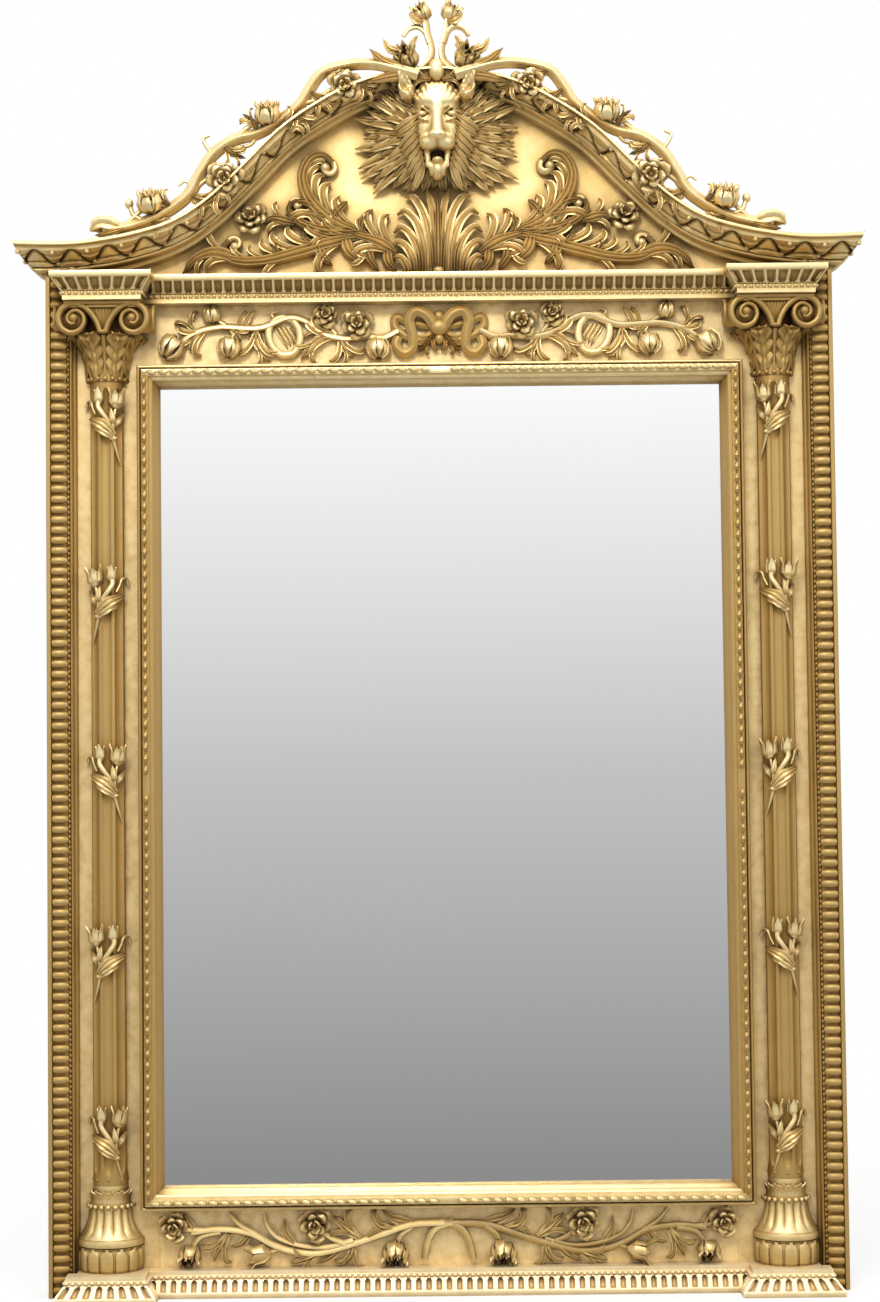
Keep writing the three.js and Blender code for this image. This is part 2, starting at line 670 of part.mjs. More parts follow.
// ---------------------------------------------------------------- garlands in the two friezes
// Setting out from the middle of the frieze, drawn for DRAWN_FRIEZE_HALF and stretched to it.
const DRAWN_FRIEZE_HALF = 415;
const friezeX = (columnX - BLOCK_HALF_W) / DRAWN_FRIEZE_HALF;
const inFrieze = (middle) => (points, s) => points.map(([x, z]) => [s * x * friezeX, middle + z]);
const topMiddle = friezeLow + TOP_FRIEZE_H / 2;
const bottomMiddle = BASE_H + BOTTOM_FRIEZE_H / 2;

function garland(s) {
  const place = inFrieze(topMiddle);
  const run = (points, r0, r1) => stem(place(points, s), face - 4, r0, r1);
  const spray = (base, tip, width, bow) => {
    const [from, to] = place([base, tip], s);
    return leaf(from, to, width, face, CARVING_PROUD * 0.5, s * bow);
  };
  const blossom = (x, z, r) => rose(...place([[x, z]], s)[0], r);
  return onGround([
    run([[62, 6], [100, -4], [135, -6], [165, 2], [190, 20], [215, 24], [255, 10], [310, 12], [345, 4], [366, -10]], 6, 7),
    run([[200, 20], [236, 14], [242, -8], [222, -28], [200, -14], [206, 8]], 5, 5),
    run([[270, 12], [292, 8], [296, -12]], 5, 5),
    blossom(87, -20, 18),
    blossom(116, 14, 19),
    blossom(161, 25, 16),
    blossom(296, -18, 20),
    blossom(318, 24, 16),
    blossom(378, -18, 20),
    spray([150, -4], [190, -34], 24, 8),
    spray([140, -6], [128, -32], 18, -6),
    spray([262, 8], [244, -22], 20, -6),
    spray([330, 8], [346, -26], 18, 6),
  ]);
}
function garlandBow() {
  const parts = [ball(0, face - 6, topMiddle + 8, 17, 18, 15)];
  for (const [, s] of sides) {
    const place = (points) => inFrieze(topMiddle)(points, s);
    const loops = [[6, 8], [26, 26], [44, 26], [46, 6], [38, -14], [50, -26], [58, -12], [50, 2], [34, 0]];
    parts.push(stem(place(loops), face - 5, 8, 6));
    parts.push(leaf(...place([[4, 2], [28, -24]]), 14, face, 14, s * 4));
  }
  return onGround(parts);
}
function bottomSpray(s) {
  const place = inFrieze(bottomMiddle);
  const run = (points, r0, r1) => stem(place(points, s), face - 3, r0, r1);
  const spray = (base, tip, width, bow) => {
    const [from, to] = place([base, tip], s);
    return leaf(from, to, width, face, CARVING_PROUD * 0.45, s * bow);
  };
  const blossom = (x, z, r) => ball(...flatBloom(place([[x, z]], s)[0]), r, r * 0.6, r);
  return onGround([
    run([[3, 19], [50, 20], [100, 6], [150, -14], [195, -17], [240, -10], [272, 12], [317, 17], [372, 18]], 6, 5),
    run([[88, 10], [60, 0], [44, -22]], 5, 5),
    run([[150, -13], [178, 10], [195, 24]], 5, 5),
    run([[255, -2], [268, -14]], 5, 5),
    run([[110, 2], [86, -22]], 5, 5),
    run([[330, 17], [352, -4], [364, -20]], 5, 5),
    blossom(86, -23, 15),
    blossom(195, 24, 16),
    blossom(270, -20, 14),
    blossom(366, -22, 14),
    blossom(390, 22, 15),
    spray([100, 6], [150, 30], 14, -6),
    spray([230, -12], [250, 26], 12, 5),
    spray([200, -16], [236, -34], 14, 5),
    spray([290, 14], [330, -14], 14, 6),
  ]);
}
const flatBloom = ([x, z]) => [x, face - 4, z];
for (const [side, s] of sides) {
  add(`garland_${side}`, garland(s), giltCarved);
  add(`bottom_spray_${side}`, bottomSpray(s), giltCarved);
}
add("garland_bow", garlandBow(), giltCarved);

// ---------------------------------------------------------------- battens on the back
const battenY = back + GAP;
const rear = battenY + BATTEN_T;
const battenHalf = openingHalf - BATTEN_INSET;
add("bottom_batten", box(-battenHalf, battenHalf, battenY, rear, BATTEN_Z, BATTEN_Z + BATTEN_W), pine);
for (const [side, s] of sides) {
  const brace = across(s, BRACE_X - BATTEN_W / 2, BRACE_X + BATTEN_W / 2);
  add(`crest_brace_${side}`, box(...brace, battenY, rear, top - BRACE_DROP, top + BRACE_RISE), pine);
}

// ---------------------------------------------------------------- ring hangers
const eyeR = RING_WIRE_R + EYE_PLAY;
const eyeY = battenY + eyeR + STRAP_T;
function hangerPlate(x) {
  const rim = new THREE.Shape().absarc(0, 0, eyeR + STRAP_T, 0, 2 * Math.PI);
  rim.holes.push(new THREE.Path().absarc(0, 0, eyeR, 0, 2 * Math.PI, true));
  const rolled = new THREE.ExtrudeGeometry(rim, { depth: STRAP_W, bevelEnabled: false, curveSegments: 10 });
  rolled.rotateY(Math.PI / 2).translate(x - STRAP_W / 2, eyeY, HANGER_Z);
  const strap = box(x - STRAP_W / 2, x + STRAP_W / 2, battenY, battenY + STRAP_T, HANGER_Z - STRAP_L, HANGER_Z);
  const hole = rod(x, HANGER_Z - SCREW_DROP, SCREW_R + GAP, back - 1, battenY + STRAP_T + 1);
  return solidOf(rolled).add(strap).subtract(hole);
}
function hangerRing(x) {
  const bend = 4;
  const flat = RING_HALF_W - bend;
  const deep = RING_DROP - RING_HALF_W;
  const wire = new THREE.Path();
  wire.moveTo(-flat, 0);
  wire.lineTo(flat, 0);
  wire.absarc(flat, -bend, bend, Math.PI / 2, 0, true);
  wire.lineTo(RING_HALF_W, -deep);
  wire.absarc(0, -deep, RING_HALF_W, 0, -Math.PI, true);
  wire.lineTo(-RING_HALF_W, -bend);
  wire.absarc(-flat, -bend, bend, Math.PI, Math.PI / 2, true);
  const rings = wire.curves.flatMap((curve) => {
    const steps = curve.isLineCurve ? 1 : Math.round(curve.getLength() / 3);
    return Array.from({ length: steps }, (_, i) => {
      const [p, t] = [curve.getPointAt(i / steps), curve.getTangentAt(i / steps)];
      return roundRing(at(x + p.x, eyeY, HANGER_Z + p.y), at(t.x, 0, t.y), RING_WIRE_R, 6);
    });
  });
  return loft(rings);
}
function hangerScrew(x) {
  const seat = battenY + STRAP_T + GAP;
  const z = HANGER_Z - SCREW_DROP;
  return rod(x, z, SCREW_HEAD_R, seat, seat + SCREW_HEAD_T).add(rod(x, z, SCREW_R, back - SCREW_L, seat + 0.5));
}
for (const [side, s] of sides) {
  add(`hanger_plate_${side}`, hangerPlate(s * hangerX), steel);
  add(`hanger_ring_${side}`, hangerRing(s * hangerX), steel);
  add(`hanger_screw_${side}`, hangerScrew(s * hangerX), steel);
}

export default mirror;
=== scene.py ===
# %% [markdown]
# # A carved and gilded trumeau mirror
# The real frame is softwood covered with gesso and gold leaf. It has a glazed carcass, half
# columns, a fluted base and entablature, two friezes with garlands, and an arched pediment with a
# lion mask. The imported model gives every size, so each carved piece here is made in its frame, in
# millimetres, and becomes metres only when its mesh is written.

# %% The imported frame
import bpy
import json
import math
import numpy as np
import openvdb
from mathutils import Euler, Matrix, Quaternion, Vector

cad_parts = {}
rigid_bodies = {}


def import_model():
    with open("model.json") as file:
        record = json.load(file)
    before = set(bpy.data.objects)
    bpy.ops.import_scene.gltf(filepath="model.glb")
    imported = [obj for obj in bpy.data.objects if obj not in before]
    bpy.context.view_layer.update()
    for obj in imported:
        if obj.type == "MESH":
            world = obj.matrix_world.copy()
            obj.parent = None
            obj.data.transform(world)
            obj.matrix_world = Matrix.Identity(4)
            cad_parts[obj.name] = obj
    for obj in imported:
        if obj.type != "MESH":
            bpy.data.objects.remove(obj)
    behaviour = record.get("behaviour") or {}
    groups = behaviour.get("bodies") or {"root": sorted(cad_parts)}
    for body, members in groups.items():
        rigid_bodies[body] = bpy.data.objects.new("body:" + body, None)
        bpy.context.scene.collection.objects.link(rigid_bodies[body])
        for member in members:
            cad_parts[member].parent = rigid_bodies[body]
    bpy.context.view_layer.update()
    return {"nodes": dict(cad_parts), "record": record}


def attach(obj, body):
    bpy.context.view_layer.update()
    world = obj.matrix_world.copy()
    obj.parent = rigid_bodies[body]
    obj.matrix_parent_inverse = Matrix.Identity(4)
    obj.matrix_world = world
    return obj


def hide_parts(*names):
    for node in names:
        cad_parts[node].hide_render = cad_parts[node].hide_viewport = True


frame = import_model()
MM = 0.001

# %% [markdown]
# ## Setting out
# A frame maker draws the widths and heights once and works from them. These are the same levels
# as the solids have, so a moulding, a column or a leaf lands where its solid is.

# %% The levels of the frame
GROUND = -14.0  # front of the carcass boards
SIGHT_HALF, GLASS_LOW, GLASS_HIGH = 396.0, 146.0, 1264.0
COLUMN_X, SIDE_IN, BODY_HALF = 469.5, 512.0, 552.0
BASE_TOP, ENTABLATURE_LOW, TOP = 35.0, 1380.0, 1418.0
SIDES = (("left", -1), ("right", 1))
print("body", 2 * BODY_HALF, "mm wide,", TOP, "mm to the top of the entablature")

# %% [markdown]
# ## Camera
# The photograph was taken nearly square on, from about three and a half metres, a little to the
# left of the middle, with the camera tipped up and rolled by half a degree.

# %% Camera
camera_data = bpy.data.cameras.new("camera")
camera_data.lens, camera_data.sensor_width = 68.88, 36.0
camera = bpy.data.objects.new("camera", camera_data)
bpy.context.scene.collection.objects.link(camera)
camera.location = (-0.0115, -3.514, 0.7195)
PITCH_UP, YAW_RIGHT, ROLL = math.radians(2.762), math.radians(0.128), math.radians(0.616)
camera.rotation_mode = "QUATERNION"
square_on = Euler((math.pi / 2 + PITCH_UP, 0, -YAW_RIGHT), "XYZ").to_quaternion()
camera.rotation_quaternion = square_on @ Quaternion((0, 0, 1), -ROLL)
bpy.context.scene.camera = camera
print("camera", tuple(camera.location), "lens", camera_data.lens)

# %% [markdown]
# ## Shader maths
# A material is a sum in which most terms are other nodes. Wrapping a socket in a small class lets
# such a sum be written as Python, and one method makes every other node: its settings first, then
# the values or links of its sockets.

# %% Socket arithmetic and node making
class Term:
    """An output socket. An operator on it adds one Math node."""

    def __init__(self, graph, socket):
        self.graph, self.socket = graph, socket

    def _math(self, operation, a, b):
        return self.graph.term("Math", 0, {0: a, 1: b}, operation=operation)

    def __add__(self, other): return self._math("ADD", self, other)
    def __radd__(self, other): return self._math("ADD", other, self)
    def __sub__(self, other): return self._math("SUBTRACT", self, other)
    def __rsub__(self, other): return self._math("SUBTRACT", other, self)
    def __mul__(self, other): return self._math("MULTIPLY", self, other)
    def __rmul__(self, other): return self._math("MULTIPLY", other, self)
    def __truediv__(self, other): return self._math("DIVIDE", self, other)
    def __pow__(self, other): return self._math("POWER", self, other)


class Graph:
    """The node tree of one material or world."""

    def __init__(self, tree):
        self.tree = tree
        tree.nodes.clear()

    def node(self, kind, inputs=None, stops=(), **settings):
        made = self.tree.nodes.new("ShaderNode" + kind)
        for key, value in settings.items():
            setattr(made, key, value)
        for i, (place, colour) in enumerate(stops):
            ends = made.color_ramp.elements
            stop = ends[i] if i < 2 else ends.new(place)
            stop.position, stop.color = place, (*colour, 1)
        for key, value in (inputs or {}).items():
            if isinstance(value, Term):
                self.tree.links.new(value.socket, made.inputs[key])
            else:
                made.inputs[key].default_value = value
        return made

    def term(self, kind, output=0, inputs=None, stops=(), **settings):
        return Term(self, self.node(kind, inputs, stops, **settings).outputs[output])

    def mix(self, share, a, b, blend_type="MIX"):
        colour = lambda c: c if isinstance(c, Term) else (*c, 1)
        sockets = {0: share, 6: colour(a), 7: colour(b)}
        return self.term("Mix", 2, sockets, data_type="RGBA", blend_type=blend_type, clamp_factor=True)

    def ramp(self, value, *stops):
        return self.term("ValToRGB", 0, {0: value}, stops=stops)


# %% [markdown]
# ## Light
# The picture has a plain white background and big soft light from above and in front, so every
# edge that faces up is cream and every hollow is brown. The world does most of that: it is bright
# above the horizon and grey below, and the flat glass shows exactly that change. The camera sees
# plain white behind the object.

# %% World, lamps and floor
scene = bpy.context.scene
scene.view_settings.view_transform = "Standard"
scene.world = bpy.data.worlds.new("studio")
scene.world.use_nodes = True
sky = Graph(scene.world.node_tree)
height = sky.term("SeparateXYZ", 2, {0: sky.term("TexCoord", 0)})
# Places from straight down to straight up with their grey. A ramp starts with its two ends.
SKY_GREYS = (
    (0.0, 0.36), (1.0, 1.0), (0.36, 0.34), (0.42, 0.262), (0.5, 0.55), (0.578, 0.985), (0.66, 0.84),
)
shade = sky.ramp(height * 0.5 + 0.5, *[(at, (level, level, level)) for at, level in SKY_GREYS])
lit = sky.term("Background", 0, {"Color": shade, "Strength": 1.0})
white = sky.term("Background", 0, {"Color": (1, 1, 1, 1), "Strength": 1.0})
is_camera = sky.term("LightPath", 0)
sky.node("OutputWorld", {0: sky.term("MixShader", 0, {0: is_camera, 1: lit, 2: white})})


def lamp(name, place, target, size, power):
    data = bpy.data.lights.new(name, "AREA")
    data.shape, data.energy = "RECTANGLE", power
    data.size, data.size_y = size
    made = bpy.data.objects.new(name, data)
    scene.collection.objects.link(made)
    made.location = place
    made.rotation_mode = "QUATERNION"
    made.rotation_quaternion = (Vector(target) - Vector(place)).to_track_quat("-Z", "Y")


lamp("key", (-0.42, -2.4, 2.9), (-0.2, 0, 1.4), (0.9, 0.7), 42)
lamp("top", (0.1, -0.9, 3.6), (0, -0.1, 0.9), (1.6, 1.0), 24)
lamp("fill", (2.4, -2.6, 1.9), (0, 0, 0.9), (1.2, 1.6), 11)
FLOOR = 6.0
floor_corners = [(x * FLOOR, y * FLOOR, 0) for x, y in ((-1, -1), (1, -1), (1, 1), (-1, 1))]
floor_mesh = bpy.data.meshes.new("floor")
floor_mesh.from_pydata(floor_corners, [], [(0, 1, 2, 3)])
floor = bpy.data.objects.new("floor", floor_mesh)
scene.collection.objects.link(floor)
floor.visible_glossy = False  # the glass shows the studio's sky, as in the photograph
floor_paint = bpy.data.materials.new("floor_paint")
floor_paint.use_nodes = True
pale = Graph(floor_paint.node_tree)
away = pale.term("VectorMath", 1, {0: pale.term("TexCoord", "Object")}, operation="LENGTH")
matt = pale.term("BsdfDiffuse", 0, {"Color": (0.86, 0.86, 0.85, 1)})
glow = pale.term("Emission", 0, {"Color": (1, 1, 1, 1)})
faded = pale.term("MapRange", 0, {0: away, 1: 0.5, 2: 1.8, 3: 0.7, 4: 1.0})
seen = faded * pale.term("LightPath", 0)
pale.node("OutputMaterial", {0: pale.term("MixShader", 0, {0: seen, 1: matt, 2: glow})})
floor_mesh.materials.append(floor_paint)

# %% [markdown]
# ## Finishes
# Old gilding isn't one colour. Leaf is laid in squares over red-brown clay. Ambient occlusion
# paints light and shade into the colour: a pale painted highlight on the open places and a dark
# brown painted shade in the hollows, and as it works between pieces too, a leaf paints a shadow
# on the board just beside it. Sharp edges are lightened, partly as rubbed gold and partly as a
# painted highlight. Noise breaks up the colour and the gloss at three sizes.

# %% Gold leaf
finishes = {}


def new_finish(name):
    made = bpy.data.materials.new(name)
    made.use_nodes = True
    finishes[name] = made
    return Graph(made.node_tree)


def bare_behind(g, place, close, gilded):
    """Pine on the faces that look at the wall, which nobody gilds."""
    facing = g.term("SeparateXYZ", 1, {0: g.term("NewGeometry", "Normal")})
    behind = g.term("Math", 0, {0: facing, 1: 0.5}, operation="GREATER_THAN")
    long_grain = g.term("Mapping", 0, {"Vector": place, "Scale": (14.0, 14.0, 0.9)})
    streaks = g.term("TexNoise", 0, {"Vector": long_grain, "Scale": 7.0, "Detail": 5.0, "Distortion": 0.4})
    pine = g.ramp(streaks, (0.3, (0.27, 0.165, 0.085)), (0.7, (0.46, 0.31, 0.17)))
    # Occlusion paints shade into the pine's crevices.
    crevice_shaded = g.mix(close, (0.12, 0.07, 0.04), pine)
    board = g.term("BsdfPrincipled", 0, {"Base Color": crevice_shaded, "Roughness": 0.82})
    return g.term("MixShader", 0, {0: behind, 1: gilded, 2: board})


def gilding(name, high, body, shade_and_speck, gloss, metal, grain, painted_shade, bare_back=False):
    """The three colours run from a painted highlight on open places to a painted shade in hollows."""
    g = new_finish(name)
    place = g.term("TexCoord", "Object")
    cloud, mottle, speck = (
        g.term("TexNoise", 0, {"Vector": place, "Scale": scale, "Detail": detail, "Roughness": 0.6})
        for scale, detail in ((5.0, 3.0), (60.0, 3.0), (420.0, 2.0))
    )
    # Occlusion paints shade in hollows and beside each leaf, and a highlight on open places.
    wide = g.term("AmbientOcclusion", "AO", {"Distance": 0.35}, samples=8)
    close = g.term("AmbientOcclusion", "AO", {"Distance": 0.03}, samples=8)
    edge = g.term("NewGeometry", "Pointiness")
    # The strength after grain sets how deep that painted shade is.
    open_air = wide ** (0.36 * painted_shade) * close ** (0.55 * painted_shade) + (mottle - 0.5) * 0.22
    between = tuple((3 * h + 2 * b) / 5 for h, b in zip(shade_and_speck, body))
    leaf = g.ramp(open_air, (0.12, shade_and_speck), (0.78, body), (0.98, high), (0.45, between))
    warm = g.mix((cloud - 0.42) * 2.2, leaf, (0.86, 0.86, 0.80), "MULTIPLY")
    # Sharp edges lighten: partly rubbed gold, partly a painted highlight.
    rubbed_and_lit = g.mix((edge - 0.515) * 9.0 * mottle, warm, high)
    spots = g.ramp(speck, (0.66, (0, 0, 0)), (0.72, (1, 1, 1)))
    aged = g.mix(spots * 0.35, rubbed_and_lit, shade_and_speck)
    rough = gloss + (mottle - 0.5) * 0.16 + (1 - wide) * 0.25
    bump = g.term("Bump", 0, {"Height": mottle * 0.6 + speck * 0.4, "Strength": grain, "Distance": 0.0006})
    sockets = {"Base Color": aged, "Roughness": rough, "Metallic": metal, "Normal": bump}
    shader = g.term("BsdfPrincipled", 0, sockets)
    g.node("OutputMaterial", {0: bare_behind(g, place, close, shader) if bare_back else shader})


# Each finish: painted highlight, body and painted shade colours, gloss, metal, grain, shade strength.
gilding(
    "gilt_carving", (0.98, 0.80, 0.43), (0.72, 0.495, 0.185), (0.08, 0.038, 0.010), 0.40, 0.72,
    0.35, 0.9,
)
gilding(
    "gilt_ground", (0.96, 0.75, 0.40), (0.78, 0.51, 0.155), (0.20, 0.10, 0.022), 0.42, 0.72, 0.25,
    0.8, bare_back=True,
)
# Darker copy of the gilding: partly a browner toning, partly painted shade on the middle of the frame.
gilding(
    "toned_shaded_moulding", (0.51, 0.34, 0.12), (0.46, 0.27, 0.07), (0.09, 0.038, 0.008), 0.48, 0.64,
    0.35, 0.6,
)
# Paler copy of the gilding for the base band: painted light.
gilding(
    "painted_light_moulding", (1.0, 0.88, 0.60), (0.92, 0.70, 0.38), (0.22, 0.12, 0.04), 0.46, 0.66, 0.35,
    0.55,
)
print("gilding:", sorted(finishes))

# %% [markdown]
# The glass is silvered at its back and a little hazy with age. The back boards are bare pine with
# long grain, and the hangers are zinc-plated steel.

# %% Glass, pine and steel
g = new_finish("silvered_glass")
haze = g.term("TexNoise", 0, {"Vector": g.term("TexCoord", "Object"), "Scale": 3.0, "Detail": 2.0})
tint = g.mix(haze, (0.985, 0.99, 0.99), (0.97, 0.975, 0.975))
silver = {"Base Color": tint, "Metallic": 1.0, "Roughness": 0.015 + haze * 0.01}
g.node("OutputMaterial", {0: g.term("BsdfPrincipled", 0, silver)})

g = new_finish("bare_pine")
grain_at = g.term("Mapping", 0, {"Vector": g.term("TexCoord", "Object"), "Scale": (14.0, 14.0, 0.9)})
rings = g.term("TexNoise", 0, {"Vector": grain_at, "Scale": 6.0, "Detail": 6.0, "Distortion": 0.6})
pores = g.term("TexNoise", 0, {"Vector": grain_at, "Scale": 60.0, "Detail": 3.0})
# Occlusion paints shade into the pine's crevices.
crevice_shade = g.term("AmbientOcclusion", "AO", {"Distance": 0.02}, samples=6)
wood = g.ramp(rings, (0.3, (0.20, 0.115, 0.055)), (0.7, (0.42, 0.27, 0.14)), (0.5, (0.33, 0.20, 0.10)))
wood = g.mix(crevice_shade, (0.11, 0.065, 0.035), wood)
sawn = g.term("Bump", 0, {"Height": rings + pores * 0.5, "Strength": 0.4, "Distance": 0.0006})
board = {"Base Color": wood, "Roughness": 0.78 + pores * 0.1, "Normal": sawn}
g.node("OutputMaterial", {0: g.term("BsdfPrincipled", 0, board)})

g = new_finish("zinc_steel")
scratch_at = g.term("Mapping", 0, {"Vector": g.term("TexCoord", "Object"), "Scale": (1.0, 1.0, 12.0)})
scratch = g.term("TexNoise", 0, {"Vector": scratch_at, "Scale": 240.0, "Detail": 3.0})
dull = g.mix(scratch, (0.50, 0.50, 0.48), (0.66, 0.66, 0.64))
brushed = g.term("Bump", 0, {"Height": scratch, "Strength": 0.2, "Distance": 0.0002})
zinc = {"Base Color": dull, "Metallic": 1.0, "Roughness": 0.28 + scratch * 0.2, "Normal": brushed}
g.node("OutputMaterial", {0: g.term("BsdfPrincipled", 0, zinc)})
print("finishes:", sorted(finishes))

# %% [markdown]
# ## Carving with rings
# Nearly everything a carver cuts here, such as a stem, a leaf, a petal or a scroll, is a solid
# that grows along a line. So one function closes a stack of rings into a shell, and each ornament
# only says what its rings look like. A Carving collects the shells of one piece.

# %% Shells and pieces
def skin(rings):
    """A closed shell through rings, an array of (ring, point, xyz). Both ends run to a pole."""
    rings = np.asarray(rings, float)
    m, n = rings.shape[:2]
    points = np.concatenate([rings.reshape(-1, 3), rings[:1].mean(1), rings[-1:].mean(1)])
    j, i = np.meshgrid(np.arange(n), np.arange(m - 1))
    a, b = i * n + j, i * n + (j + 1) % n
    quads = np.stack([a, b, b + n, a + n], -1).reshape(-1, 4)
    k = np.arange(n)
    low = np.stack([(k + 1) % n, k, np.full(n, m * n)], -1)
    high = np.stack([(m - 1) * n + k, (m - 1) * n + (k + 1) % n, np.full(n, m * n + 1)], -1)
    tris = np.concatenate([quads[:, [0, 1, 2]], quads[:, [0, 2, 3]], low, high])
    p = points[tris] - points.mean(0)
    if np.einsum("ij,ij->i", p[:, 0], np.cross(p[:, 1], p[:, 2])).sum() < 0:
        quads, low, high = quads[:, ::-1], low[:, ::-1], high[:, ::-1]
    return points, quads, np.concatenate([low, high])


def write_mesh(name, points, quads, tris):
    """A new object whose mesh holds these faces, with millimetres turned into metres."""
    mesh = bpy.data.meshes.new(name)
    corners = np.concatenate([quads.ravel(), tris.ravel()]).astype(np.int32)
    sizes = np.concatenate([np.full(len(quads), 4), np.full(len(tris), 3)])
    mesh.vertices.add(len(points))
    mesh.vertices.foreach_set("co", (points * MM).astype(np.float32).ravel())
    mesh.loops.add(len(corners))
    mesh.loops.foreach_set("vertex_index", corners)
    mesh.polygons.add(len(sizes))
    mesh.polygons.foreach_set("loop_start", (np.cumsum(sizes) - sizes).astype(np.int32))
    mesh.update(calc_edges=True)
    mesh.validate()
    made = bpy.data.objects.new(name, mesh)
    scene.collection.objects.link(made)
    return made


def settle(piece, nodes, slot="gilt_carving", finish=None, body="frame", smooth=35):
    """Gives a finished piece its material, shading and body, and hides the CAD nodes it stands for."""
    if not piece.data.materials:
        piece.data.materials.append(finishes[finish or slot])
    piece.data.set_sharp_from_angle(angle=math.radians(smooth))
    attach(piece, body)
    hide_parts(*nodes)
    return piece


class Carving:
    """The shells of one carved piece, in millimetres."""

    def __init__(self):
        self.points, self.quads, self.tris, self.count = [], [], [], 0

    def add(self, *shells):
        for points, quads, tris in shells:
            self.points.append(points)
            self.quads.append(quads + self.count)
            self.tris.append(tris + self.count)
            self.count += len(points)

    def object(self, name):
        return write_mesh(name, *(np.concatenate(part) for part in (self.points, self.quads, self.tris)))

    def piece(self, name, *nodes, **finish):
        made = settle(self.object(name), nodes, **finish)
        print(f"{name}: {len(self.points)} shells, {len(made.data.polygons)} faces")
        return made


# %% [markdown]
# ## Lines, stems and leaves
# A carver sets a stem out as a few points and joins them by eye. Here a Catmull-Rom curve does
# that, and a frame of three directions along it says which way is forward, sideways and out of the
# board. Points are given as x, depth in front of the ground, z.

# %% Lines and their frames
OUT = np.array([0.0, -1.0, 0.0])  # out of the board, towards the viewer


def spot(x, depth, z):
    return np.array([x, GROUND - depth, z], float)


def place_of(point):
    """The x, depth and z of a point."""
    return point[0], GROUND - point[1], point[2]


def unit(vector):
    return vector / np.linalg.norm(vector)


def line(points, count):
    """count points, evenly spaced on a smooth curve through (x, depth, z) points."""
    p = np.array([spot(*q) for q in points])
    p = np.vstack([2 * p[0] - p[1], p, 2 * p[-1] - p[-2]])
    t = np.linspace(0, 1, 12, endpoint=False)[:, None]
    parts = []
    for a, b, c, d in zip(p, p[1:], p[2:], p[3:]):
        parts.append(
            b + t * (c - a) / 2 + t**2 * (a - 2.5 * b + 2 * c - d / 2)
            + t**3 * (1.5 * (b - c) + (d - a) / 2)
        )
    fine = np.vstack([*parts, p[-2]])
    length = np.concatenate([[0], np.cumsum(np.linalg.norm(np.diff(fine, axis=0), axis=1))])
    at = np.linspace(0, length[-1], count)
    return np.stack([np.interp(at, length, fine[:, i]) for i in range(3)], 1)


def frames(path, out=OUT):
    """Forward, sideways and outward directions at each point of a path."""
    forward = np.gradient(path, axis=0)
    forward /= np.linalg.norm(forward, axis=1)[:, None] + 1e-9
    side = np.cross(forward, np.broadcast_to(out, path.shape))
    side /= np.linalg.norm(side, axis=1)[:, None] + 1e-9
    return forward, side, np.cross(side, forward)


def shape_by(at, *stops):
    """A value that runs smoothly through (place, value) stops."""
    places, values = zip(*stops)
    k = np.clip(np.searchsorted(places, at, side="right") - 1, 0, len(places) - 2)
    p, v = np.array(places, float), np.array(values, float)
    t = np.clip((at - p[k]) / (p[k + 1] - p[k]), 0, 1)
    return v[k] + (v[k + 1] - v[k]) * t * t * (3 - 2 * t)


def tube(path, radius, sides=10, ribs=0, rib=0.12, flat=1.0, out=OUT):
    """A round or ribbed rod along a path, with one radius or one for each point."""
    _, side, up = frames(path, out)
    turn = np.linspace(0, 2 * math.pi, sides, endpoint=False)
    ribbed = 1 + rib * np.cos(ribs * turn) if ribs else np.ones(sides)
    r = np.broadcast_to(radius, len(path))[:, None, None] * ribbed[None, :, None]
    cos, sin = np.cos(turn)[None, :, None], np.sin(turn)[None, :, None]
    return skin(path[:, None] + r * (cos * side[:, None] + flat * sin * up[:, None]))


def stem(points, r0, r1, count=None, sides=10, **more):
    count = count or 6 * len(points)
    return tube(line(points, count), np.linspace(r0, r1, count), sides, **more)


def ball(x, depth, z, rx, ry=None, rz=None, across=16, up=10):
    turn = np.linspace(0, 2 * math.pi, across, endpoint=False)
    rise = np.linspace(0.12, math.pi - 0.12, up)[:, None]
    ry, rz = ry or rx, rz or rx
    out = (rx * np.sin(rise) * np.cos(turn), -ry * np.cos(rise), rz * np.sin(rise) * np.sin(turn))
    return skin(spot(x, depth, z) + np.stack(np.broadcast_arrays(*out), -1))


# %% [markdown]
# An acanthus leaf is a fan of fingers on one midrib. Each finger swells, runs forward to its own
# tip and has a groove beside it. The blade below is a grid along and across the midrib: a cosine
# makes fingers and grooves, the notches between fingers bite in only near the edge, and the edge is
# pushed forward so that the fingers lean towards the tip.

# %% Acanthus leaf and plain pointed leaf
def leaf_shell(middle, side, up, across, lift, thick, foot=None):
    """Closes a leaf under its upper face. With foot, its underside is flat at that depth."""
    top = middle + side[:, None] * across[..., None] + up[:, None] * lift[..., None]
    under = top[:, ::-1] - up[:, None] * thick
    if foot is not None:
        under[..., 1] = GROUND - foot
    return skin(np.concatenate([top, under], 1))


